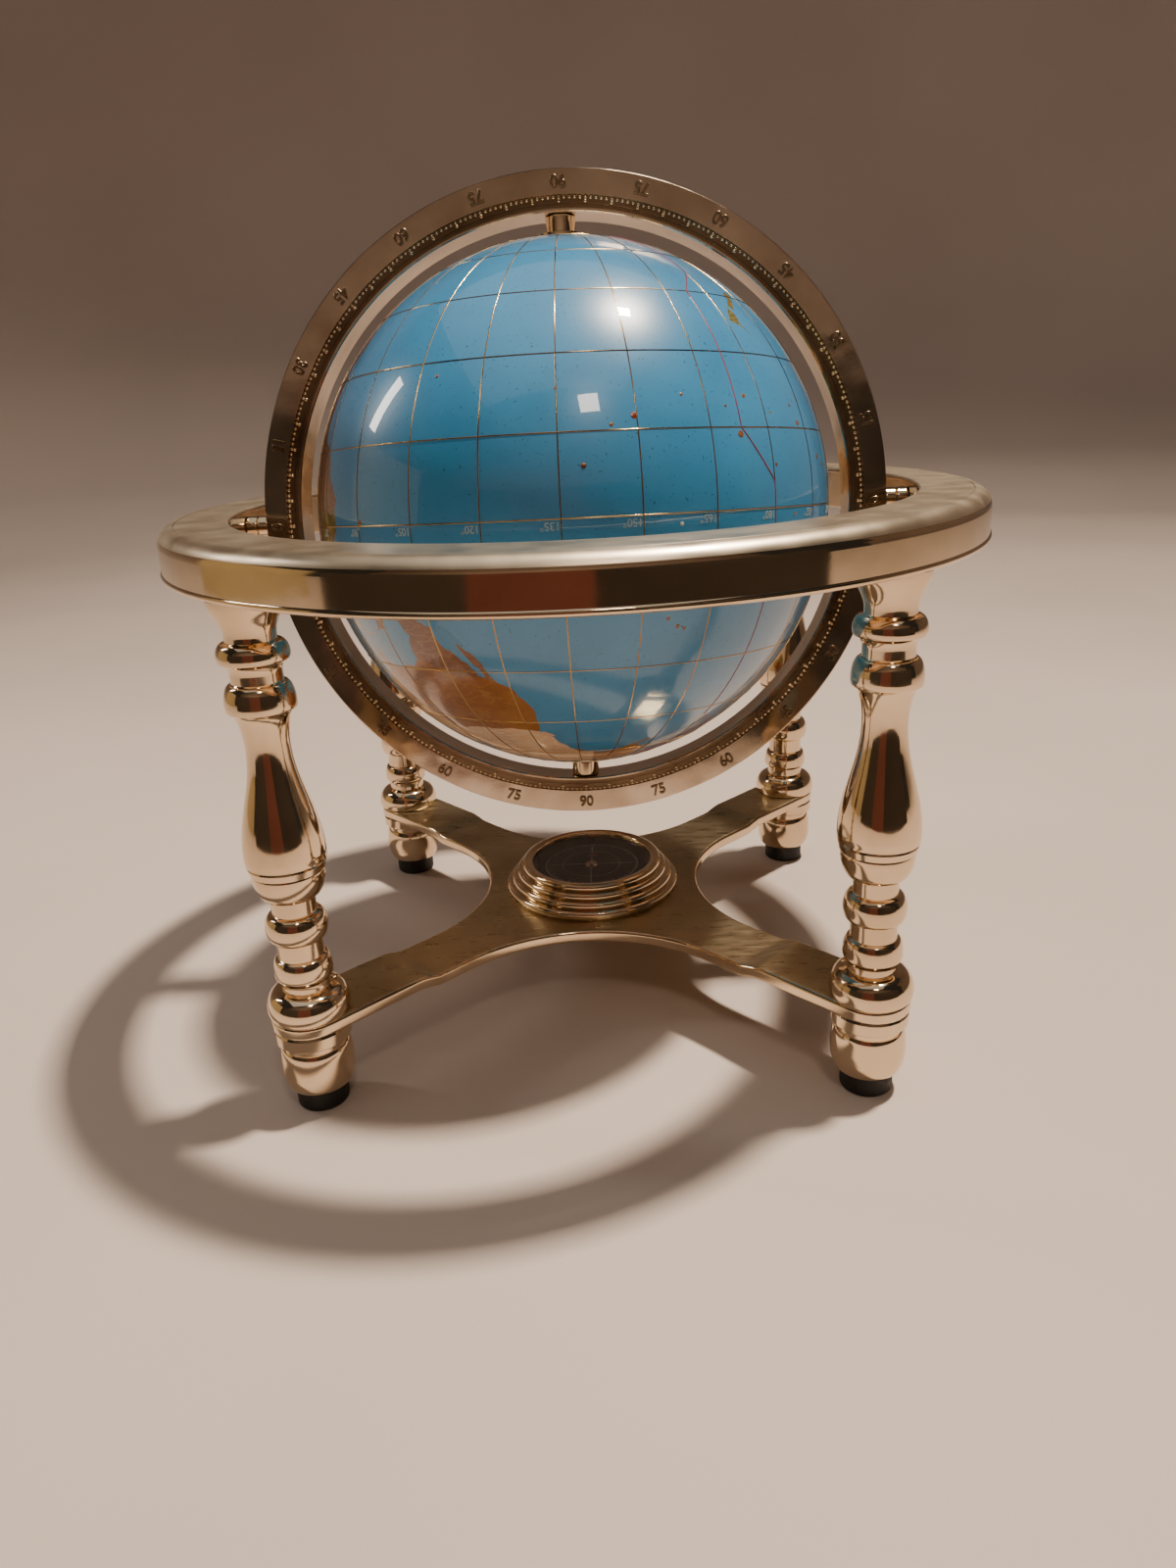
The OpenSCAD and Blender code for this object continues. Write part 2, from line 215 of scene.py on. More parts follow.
GOLD = metal("polished_gold", (0.83, 0.66, 0.46), (0.7, 0.54, 0.36), 0.05, 0.13, 0.003, sway=0.16)
HAZED = metal("hazed_gold", (0.63, 0.52, 0.34), (0.46, 0.37, 0.23), 0.24, 0.4, 0.01, (1, 6, 1))
SATIN = metal("satin_gold", (0.76, 0.64, 0.48), (0.68, 0.56, 0.41), 0.3, 0.4, 0.006)
ANTIQUE = metal("antique_brass", (0.7, 0.57, 0.44), (0.48, 0.37, 0.26), 0.09, 0.2, 0.006, sway=0.5)
# Dark copy of the ring brass for the sunk tracks and the figures on the meridian ring: painted shade
SHADED_BRASS = metal("painted_shade_brass", (0.3, 0.21, 0.13), (0.18, 0.12, 0.07), 0.22, 0.4)
# Bright copy of the ring brass for the degree beads: painted highlight
HIGHLIGHT_BRASS = metal("painted_highlight_brass", (0.9, 0.72, 0.48), (0.66, 0.48, 0.28), 0.12, 0.24)
BRASS = metal("plain_brass", (0.72, 0.55, 0.28), (0.62, 0.46, 0.22), 0.25, 0.4)
STEEL = metal("plain_steel", (0.62, 0.61, 0.6), (0.5, 0.49, 0.48), 0.25, 0.4)
WIRE = metal("gold_wire", (0.62, 0.43, 0.16), (0.3, 0.19, 0.07), 0.12, 0.3)
RUBBER = plain("black_rubber", (0.011, 0.01, 0.01), (0.006, 0.006, 0.006), 0.6)
DIAL = plain("black_dial", (0.012, 0.014, 0.016), (0.008, 0.009, 0.011), 0.45)
MARK = plain("pale_print", (0.5, 0.52, 0.5), (0.36, 0.38, 0.37), 0.5)
LABEL = plain("label_print", (0.42, 0.52, 0.55), (0.3, 0.42, 0.46), 0.4)
DATE_RED = plain("date_line_red", (0.32, 0.045, 0.06), (0.22, 0.03, 0.05), 0.35)
CORE = plain("cast_core", (0.7, 0.67, 0.6), (0.6, 0.57, 0.5), 0.5)
OCEAN = ocean_stone()
GLASS = Paint("clear_glass", Roughness=0.02, IOR=1.5, Transmission_Weight=1.0).material

# Each stone's main colour, its second colour and its veins
STONES = {
    name: stone(f"stone_{name}", *colours) for name, colours in {
        "copper": ((0.29, 0.105, 0.012), (0.19, 0.06, 0.006), (0.33, 0.14, 0.02)),
        "cream": ((0.68, 0.48, 0.31), (0.52, 0.33, 0.19), (0.74, 0.58, 0.43)),
        "rose": ((0.22, 0.095, 0.045), (0.15, 0.055, 0.025), (0.27, 0.14, 0.08)),
        "jasper": ((0.24, 0.08, 0.022), (0.13, 0.035, 0.01), (0.36, 0.16, 0.06)),
        "sand": ((0.45, 0.28, 0.11), (0.32, 0.18, 0.06), (0.56, 0.4, 0.22)),
        "olive": ((0.16, 0.14, 0.035), (0.08, 0.08, 0.02), (0.28, 0.23, 0.08)),
        "pearl": ((0.62, 0.6, 0.52), (0.48, 0.47, 0.43), (0.75, 0.72, 0.65)),
        "green": ((0.03, 0.15, 0.065), (0.012, 0.07, 0.03), (0.11, 0.28, 0.14)),
        "red": ((0.28, 0.03, 0.015), (0.16, 0.014, 0.008), (0.4, 0.11, 0.06)),
        "grey": ((0.24, 0.21, 0.18), (0.14, 0.125, 0.11), (0.38, 0.34, 0.3)),
    }.items()
}


# ---------------- mesh tools

def add(name, data):
    """A new object in the scene, for a mesh, a text, a lamp or a camera."""
    thing = bpy.data.objects.new(name, data)
    bpy.context.scene.collection.objects.link(thing)
    return thing


def add_mesh(name, points, faces, materials, face_slots=None):
    """A new mesh object from points in millimetres."""
    mesh = bpy.data.meshes.new(name)
    mesh.from_pydata([Vector(p) * MM for p in points], [], faces)
    for m in materials:
        mesh.materials.append(m)
    if face_slots:
        mesh.polygons.foreach_set("material_index", face_slots)
    return add(name, mesh)


def smooth(mesh, crease, join=0):
    """Turns faces outwards and shades them smooth; edges sharper than crease stay sharp."""
    work = bmesh.new()
    work.from_mesh(mesh)
    if join:
        bmesh.ops.remove_doubles(work, verts=work.verts, dist=join * MM)
    bmesh.ops.recalc_face_normals(work, faces=work.faces)
    work.to_mesh(mesh)
    work.free()
    mesh.polygons.foreach_set("use_smooth", [True] * len(mesh.polygons))
    mesh.set_sharp_from_angle(angle=math.radians(crease))


def build(name, body, points, faces, materials, slot, place=UPRIGHT, crease=35, face_slots=None):
    """A smooth piece of a body, from points in millimetres."""
    piece = add_mesh(name, [place @ Vector(p) for p in points], faces, materials, face_slots)
    smooth(piece.data, crease)
    piece.modifiers.new("flat_faces_stay_flat", "WEIGHTED_NORMAL").keep_sharp = True
    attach(piece, body)
    return piece


def revolved(outline, closed, segments):
    """Points and faces of an outline of (radius, height) turned round Z."""
    points, rows = [], []
    for radius, height in outline:
        if radius < 1e-6:
            rows.append([len(points)] * segments)
            points.append((0, 0, height))
            continue
        rows.append(list(range(len(points), len(points) + segments)))
        for k in range(segments):
            a = 2 * math.pi * k / segments
            points.append((radius * math.cos(a), radius * math.sin(a), height))
    faces = []
    for i in range(len(rows) if closed else len(rows) - 1):
        low, high = rows[i], rows[(i + 1) % len(rows)]
        for k in range(segments):
            n = (k + 1) % segments
            loop = [low[k], low[n], high[n], high[k]]
            faces.append([v for j, v in enumerate(loop) if v != loop[j - 1]])
    return points, faces


def turn(name, body, outline, material, slot, place=UPRIGHT, closed=False, segments=96, crease=35):
    """A piece turned round its own Z from an outline of (radius, height)."""
    return build(name, body, *revolved(outline, closed, segments), [material], slot, place, crease)


def rounded(corners):
    """A closed outline through corners of (x, y, rounding)."""
    out = []
    for i, (x, y, r) in enumerate(corners):
        here = Vector((x, y))
        if r == 0:
            out.append((x, y))
            continue
        before = Vector(corners[i - 1][:2])
        after = Vector(corners[(i + 1) % len(corners)][:2])
        a = here + (before - here).normalized() * r
        b = here + (after - here).normalized() * r
        for k in range(6):
            t = k / 5
            p = a * (1 - t) ** 2 + here * 2 * t * (1 - t) + b * t ** 2
            out.append((p.x, p.y))
    return out


def arc(cx, cy, r, start, end, steps=8):
    """Points along a circle, from one angle in degrees to another."""
    angles = [math.radians(start + (end - start) * k / steps) for k in range(steps + 1)]
    return [(cx + r * math.cos(a), cy + r * math.sin(a)) for a in angles]


def merged(parts):
    """Joins (points, faces, place) into one list of points and one of faces."""
    points, faces = [], []
    for some_points, some_faces, place in parts:
        first = len(points)
        points += [tuple(place @ Vector(p)) for p in some_points]
        faces += [[first + v for v in face] for face in some_faces]
    return points, faces


# How an outline goes on to its next station: straight, in an S, bulging or hollow
LINE, EASE, SWELL, COVE = 0, 1, 2, 3


def turned_outline(stations):
    """The outline through stations of (height, radius, curve to the next), closed on the axis."""
    out = [(0, stations[0][0])]
    for (z0, r0, curve), (z1, r1, _) in zip(stations, stations[1:]):
        count = 1 if curve == LINE else 9
        for k in range(count):
            s = k / count
            up, down = math.sin(math.pi / 2 * s), math.cos(math.pi / 2 * s)
            if curve == LINE:
                r, z = s, s
            elif curve == EASE:
                r, z = (1 - math.cos(math.pi * s)) / 2, s
            elif curve == SWELL and r1 > r0:
                r, z = up, 1 - down
            else:
                r, z = 1 - down, up
            out.append((r0 + (r1 - r0) * r, z0 + (z1 - z0) * z))
    z, r, _ = stations[-1]
    return out + [(r, z), (0, z)]


# ---------------- the stand

def horizon_ring():
    """The flat face, the rim with its shoulder and rolled lip, and the inner band."""
    top, bottom = HORIZON_TOP, HORIZON_LOW
    wall, bend, lip_r = 1.5, 4.7, 0.9
    fine_line = 0.06  # half of the line between face and rim
    seam = HORIZON_OUT - bend
    satin_from = top - 2.6
    face = rounded([
        (HORIZON_IN, top - wall, 0.2), (HORIZON_IN, top, 0.7),
        (seam - fine_line, top, 0.15), (seam - fine_line, top - wall, 0)
    ])
    shoulder = [(max(r, seam + fine_line), z) for r, z in arc(seam, top - bend, bend, 90, 5, 20)]
    inner = arc(seam, top - bend, bend - wall, 0, 88, 10)
    lip = arc(HORIZON_OUT - lip_r / 2, bottom + lip_r, lip_r, 60, -90, 10)
    rim = [(seam + fine_line, top - 0.5)] + shoulder + [(HORIZON_OUT, bottom + 1.75)]
    rim += lip + [(HORIZON_OUT - wall, bottom + 0.05)] + inner
    band = rounded([
        (HORIZON_IN, bottom, 0.3), (HORIZON_IN + wall, bottom, 0.3),
        (HORIZON_IN + wall, top - wall, 0), (HORIZON_IN, top - wall, 0)
    ])
    for name, outline in (("face", face), ("rim", rim), ("band", band)):
        piece = turn(f"horizon_{name}_fine", "stand", outline, GOLD, "polished_gold",
                     closed=True, segments=256)
        if name != "band":
            piece.data.materials.append(SATIN)
            for flat in piece.data.polygons:
                flat.material_index = int(flat.center.z > satin_from * MM and flat.normal.z > 0)
        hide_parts(f"horizon_{name}")


LEG = [
    (0, 10.7, SWELL), (2.2, 11.3, SWELL), (7.6, 7.5, LINE), (7.9, 6.7, LINE), (9.2, 6.6, COVE),
    (11.2, 7.4, SWELL), (12.6, 7.9, SWELL), (17.2, 6.6, LINE), (17.5, 6.2, LINE), (22.1, 6.1, LINE),
    (22.4, 6.5, SWELL), (26.2, 8.3, SWELL), (30.3, 6.3, LINE), (30.6, 5.9, LINE), (34.8, 5.9, SWELL),
    (42.2, 9.54, LINE), (42.6, 9.35, LINE), (42.9, 9.82, LINE), (44.7, 10.16, LINE), (45.1, 9.9, LINE),
    (45.5, 10.46, EASE), (47.6, 10.6, EASE), (76.6, 5.6, COVE), (86.5, 8.5, SWELL), (88.2, 8.8, SWELL),
    (93.4, 6.7, LINE), (93.7, 6.4, LINE), (95.8, 6.4, COVE), (98.8, 8.4, SWELL), (100.4, 8.9, SWELL),
    (103.8, 6.6, LINE), (104, 6.3, LINE), (105.1, 6.3, EASE), (114.4, 9.3, LINE),
]
FOOT = [
    (0, 7.6, SWELL), (6.8, 10.2, SWELL), (13.4, 9, LINE), (15.2, 9, LINE), (15.4, 10.1, LINE),
    (15.8, 10.5, LINE), (18.9, 10.5, LINE), (19.4, 10.1, LINE),
]


def legs_and_feet():
    """Four legs, each with its foot and its rubber pad."""
    pad = rounded([(0, 0, 0), (7.2, 0, 1), (7.2, FOOT_LOW, 0.4), (0, FOOT_LOW, 0)])
    for i, name in enumerate(CORNERS):
        for kind, stations, low in (("leg", LEG, LEG_LOW), ("foot", FOOT, FOOT_LOW)):
            piece = turn(f"{kind}_fine_{name}", "stand", turned_outline(stations), GOLD, "polished_gold",
                         corner(i) @ shifted(0, 0, low), crease=28)
            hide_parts(f"{kind}_{name}")
        rubber = turn(f"pad_fine_{name}", "stand", pad, RUBBER, "rubber_pad", corner(i))
        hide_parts(f"foot_pad_{name}")


ARM_HALF = 10.5  # half the width of an arm where the scallops come nearest
ARM_END = 10.8  # radius of its round end
SCALLOP_DEPTH = 35.5  # from the middle of the plate to the bottom of a scallop
SCALLOP_R = (SCALLOP_DEPTH - ARM_HALF * math.sqrt(2)) / (math.sqrt(2) - 1)
PLATE_EDGE = 1.1
PLATE_T = 4
STEP_START, STEP_RUN = 71.5, 7  # where the plate's top steps up, along each arm


def plate_height(x, y):
    """Height of the plate's top: it steps up along each arm."""
    along = ((abs(x) + abs(y)) / math.sqrt(2) - STEP_START) / STEP_RUN
    t = max(0.0, min(1.0, along))
    return PLATE_TOP + (LEG_LOW - PLATE_TOP) * t * t * (3 - 2 * t)


def plate_outline():
    """Anticlockwise outline: a scallop, then the round end of an arm, four times."""
    end = LEG_CIRCLE / math.sqrt(2)
    scallop = [Vector(p) for p in arc(0, -SCALLOP_DEPTH - SCALLOP_R, SCALLOP_R, 135, 45, 36)]
    tip = [Vector(p) for p in arc(end, -end, ARM_END, -135, 45, 16)]
    next_start = Vector((-scallop[0].y, scallop[0].x))
    out = []
    for i in range(4):
        spin = Matrix.Rotation(math.radians(90 * i), 2)
        straight = [scallop[-1].lerp(tip[0], k / 16) for k in range(1, 16)]
        back = [tip[-1].lerp(next_start, k / 16) for k in range(1, 16)]
        out += [spin @ p for p in scallop + straight + tip + back]
    return out


def base_plate():
    """A cross with a flat hazed top and a polished rounded edge."""
    edge = plate_outline()
    count = len(edge)
    inward = []
    for i in range(count):
        along = (edge[(i + 1) % count] - edge[i - 1]).normalized()
        inward.append(Vector((-along.y, along.x)))
    # the flat top: a grid of points, closer together where it steps up
    flat_edge = [edge[i] + inward[i] * (PLATE_EDGE + 0.5) for i in range(count)]
    fill = [Vector((8 * i, 8 * j)) for i in range(-10, 11) for j in range(-10, 11)]
    for i in range(4):
        spin = Matrix.Rotation(math.radians(45 + 90 * i), 2)
        fill += [spin @ Vector((STEP_START + k / 2, 2 * m)) for k in range(-1, 16) for m in range(-4, 5)]
    loops = [(i, (i + 1) % count) for i in range(count)]
    flat, _, faces, _, _, _ = delaunay_2d_cdt(flat_edge + fill, loops, [list(range(count))], 1, 1e-6)
    near = {(round(p.x, 3), round(p.y, 3)): k for k, p in enumerate(flat)}
    edge_row = [near[(round(p.x, 3), round(p.y, 3))] for p in flat_edge]
    points = [(p.x, p.y, plate_height(p.x, p.y)) for p in flat]
    below = len(points)
    points += [(x, y, z - PLATE_T) for x, y, z in points]
    faces = [list(f) for f in faces]
    faces += [[below + v for v in f] for f in faces]
    # the rounded edge, from the top's outline down to the bottom's
    quarter = [math.radians(15 * k) for k in range(7)]
    section = [(PLATE_EDGE * (1 - math.sin(a)), PLATE_EDGE * (1 - math.cos(a))) for a in quarter]
    section += [(pull, PLATE_T - drop) for pull, drop in reversed(section)]
    rows = [edge_row]
    for pull, drop in section:
        rows.append(list(range(len(points), len(points) + count)))
        for i in range(count):
            q = edge[i] + inward[i] * pull
            points.append((q.x, q.y, plate_height(q.x, q.y) - drop))
    rows.append([below + v for v in edge_row])
    for low, high in zip(rows, rows[1:]):
        faces += [[low[k], low[(k + 1) % count], high[(k + 1) % count], high[k]] for k in range(count)]
    plate = build("base_plate_fine", "stand", points, faces, [HAZED, GOLD], "hazed_gold", crease=40)
    for face in plate.data.polygons:
        face.material_index = 0 if abs(face.normal.z) > 0.8 else 1
    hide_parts("base_plate")


def compass():
    """The bezel with its four ridges, and the printing on the card."""
    window, throat, base = 19.9, 20.8, 28.6
    outline = [(throat, PLATE_TOP + 0.05), (base - 0.2, PLATE_TOP + 0.05)]
    for i in range(4):
        outline += arc(base - 1 - 1.867 * i, PLATE_TOP + 1.45 + 2.28 * i, 1.35, -35, 100)
    outline += [(window + 0.5, BEZEL_TOP - 0.25), (window + 0.1, BEZEL_TOP - 0.5),
                (window, BEZEL_TOP - 1.0), (throat, BEZEL_TOP - 1.05)]
    bezel = turn("compass_bezel_fine", "stand", outline, GOLD, "polished_gold",
                 closed=True, segments=160, crease=50)
    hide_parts("compass_bezel")

    low, high = CARD_TOP - 0.02, CARD_TOP + 0.1
    reach = 15.3  # radius where the ticks end

    def bar(start, end, half, spin):
        """A thin bar along a radius of the card."""
        flat = ((start, -half), (end, -half), (end, half), (start, half))
        sides = [[0, 1, 2, 3], [4, 5, 6, 7], [0, 1, 5, 4], [1, 2, 6, 5], [2, 3, 7, 6], [3, 0, 4, 7]]
        return [(x, y, z) for z in (low, high) for x, y in flat], sides, rotated(spin)

    marks = []
    for r0, r1 in ((15.35, 15.75), (9.6, 9.8)):
        marks.append((*revolved([(r0, low), (r1, low), (r1, high), (r0, high)], True, 128), UPRIGHT))
    marks += [bar(reach - (0.8 if k % 3 else 1.5), reach, 0.09, 10 * k) for k in range(36)]
    marks += [bar(2.6, 13.6, 0.22, 90 * k) for k in range(4)]
    build("card_marks", "card", *merged(marks), [MARK], "black_dial", crease=30)
    head = [(x, y, z) for z in (high, high + 0.1) for x, y in ((-2.2, 5.6), (2.2, 5.6), (0, 9.2))]
    sides = [[0, 1, 2], [3, 4, 5], [0, 1, 4, 3], [1, 2, 5, 4], [2, 0, 3, 5]]
    build("card_north", "card", head, sides, [DATE_RED], "black_dial", crease=30)


def side_pivots():
    """Sleeves of two equal collars, between the meridian ring and the horizon ring."""
    collar, middle, length = 3.5, 3.25, 6.5
    sleeve = rounded([
        (PIN_BORE, 0, 0), (collar, 0, 0.4), (collar, middle - 0.15, 0.4), (collar - 0.5, middle, 0),
        (collar, middle + 0.15, 0.4), (collar, length, 0.4), (PIN_BORE, length, 0)
    ])
    for name, sign in (("right", 1), ("left", -1)):
        out = shifted(0, 0, PIVOT[2]) @ rotated(sign * 90, "Y") @ shifted(0, 0, RING_OUT + 0.5)
        piece = turn(f"pivot_sleeve_fine_{name}", "stand", sleeve, GOLD, "polished_gold",
                     out, closed=True, segments=64)
        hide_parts(f"pivot_sleeve_{name}")


# ---------------- the meridian ring

def glyphs(text, size, thick):
    """A number as points and faces in millimetres, centred, standing on z = 0."""
    curve = bpy.data.curves.new("glyph", "FONT")
    curve.body = text
    curve.size = size
    curve.extrude = thick / 2
    curve.bevel_depth = thick * 0.2
    curve.bevel_resolution = 0
    curve.resolution_u = 3
    curve.align_x = curve.align_y = "CENTER"
    curve.space_character = 0.95
    holder = add("glyph", curve)
    bpy.context.view_layer.update()
    mesh = bpy.data.meshes.new_from_object(holder.evaluated_get(bpy.context.evaluated_depsgraph_get()))
    xs = [v.co.x for v in mesh.vertices]
    ys = [v.co.y for v in mesh.vertices]
    cx, cy = (min(xs) + max(xs)) / 2, (min(ys) + max(ys)) / 2
    points = [(v.co.x - cx, v.co.y - cy, v.co.z + thick / 2) for v in mesh.vertices]
    faces = [list(f.vertices) for f in mesh.polygons]
    bpy.data.objects.remove(holder)
    bpy.data.curves.remove(curve)
    bpy.data.meshes.remove(mesh)
    return points, faces


def dome(radius):
    """A small half ball on z = 0."""
    outline = [(radius * math.cos(a), radius * math.sin(a)) for a in (-0.3, 0.35, 0.8, 1.2)]
    return revolved(outline + [(0, radius)], False, 8)


def meridian_ring():
    """The ring with a sunk track on both faces, its beads of degrees and its figures."""
    half = RING_HALF
    floor, rib = half - 0.5, half - 0.32
    face = [
        (RING_IN, 0), (RING_IN, half - 0.35), (RING_IN + 0.3, half), (RING_IN + 0.8, half),
        (RING_IN + 1.0, floor), (RING_IN + 1.9, floor), (RING_IN + 2.0, rib),
        (RING_IN + 2.2, rib), (RING_IN + 2.3, floor), (RING_IN + 4.1, floor),
        (RING_IN + 4.3, half), (RING_OUT - 0.5, half), (RING_OUT - 0.12, half - 0.12),
        (RING_OUT, half - 0.5),
    ]
    outline = face + [(r, -y) for r, y in reversed(face[1:])]
    segments = 240
    points, faces = revolved(outline, True, segments)
    track = set(range(4, 9)) | set(range(18, 23))  # the outline's steps along the two sunk tracks
    # The faces of the two sunk tracks take the dark brass: painted shade in the recess
    shades = [int(i // segments in track) for i in range(len(faces))]
    ring = build("meridian_ring_fine", "meridian", points, faces, [ANTIQUE, SHADED_BRASS], "antique_brass",
                 RING_AXIS, 30, shades)
    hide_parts("meridian_ring")

    beads, numbers = [], []
    small = (dome(0.52), shifted(RING_IN + 3.6, 0, floor))
    big = (dome(0.6), shifted(RING_IN + 2.75, 0, floor))
    figure = {value: glyphs(str(value), 4.6, 0.5) for value in range(0, 91, 15)}
    upright = shifted(RING_IN + 7.6, 0, half) @ rotated(90)
    for side in (0, 1):
        for degree in range(360):
            spin = RING_AXIS @ rotated(180 * side, "Y") @ rotated(degree)
            for bead, at in (small, big) if degree % 5 == 0 else (small,):
                beads.append((*bead, spin @ at))
            if degree % 15 == 0:
                value = abs(90 - abs(180 - (degree + 90) % 360))
                numbers.append((*figure[value], spin @ upright))
    # The beads take the bright brass: painted highlight
    build("degree_beads", "meridian", *merged(beads), [HIGHLIGHT_BRASS], "antique_brass", crease=60)
    # The raised figures take the dark brass too: painted shade
    build("degree_figures", "meridian", *merged(numbers), [SHADED_BRASS], "antique_brass", crease=30)


def pole_fittings():
    """The spacers between the meridian ring and the globe's poles."""
    spacer = rounded([(PIN_BORE, 0, 0), (4.25, 0, 0.5), (4.25, 4.65, 0.4), (PIN_BORE, 4.65, 0)])
    for name, tilt in (("south", 0), ("north", 180)):
        up = MERIDIAN @ rotated(tilt, "X") @ shifted(0, 0, GLOBE_R + 1.2)
        piece = turn(f"pole_spacer_fine_{name}", "meridian", spacer, GOLD, "polished_gold",
                     up, closed=True, segments=64)
        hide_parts(f"pole_spacer_{name}")


# ---------------- the map, in degrees as east,north

FACING = -135.2  # the meridian that faces the front at rest
LAST_LAT = 87.2  # where the skin ends, at the pole holes
GRID = 3
COAST_STEP = 1.6  # shorter stretches of coast stay straight
COAST_WOBBLE = 0.13  # sideways throw of a stretch, as a share of its length


def places(text):
    """Numbers from a text: commas join the numbers of one place, and spaces part the places."""
    return [tuple(float(number) for number in place.split(",")) for place in text.split()]


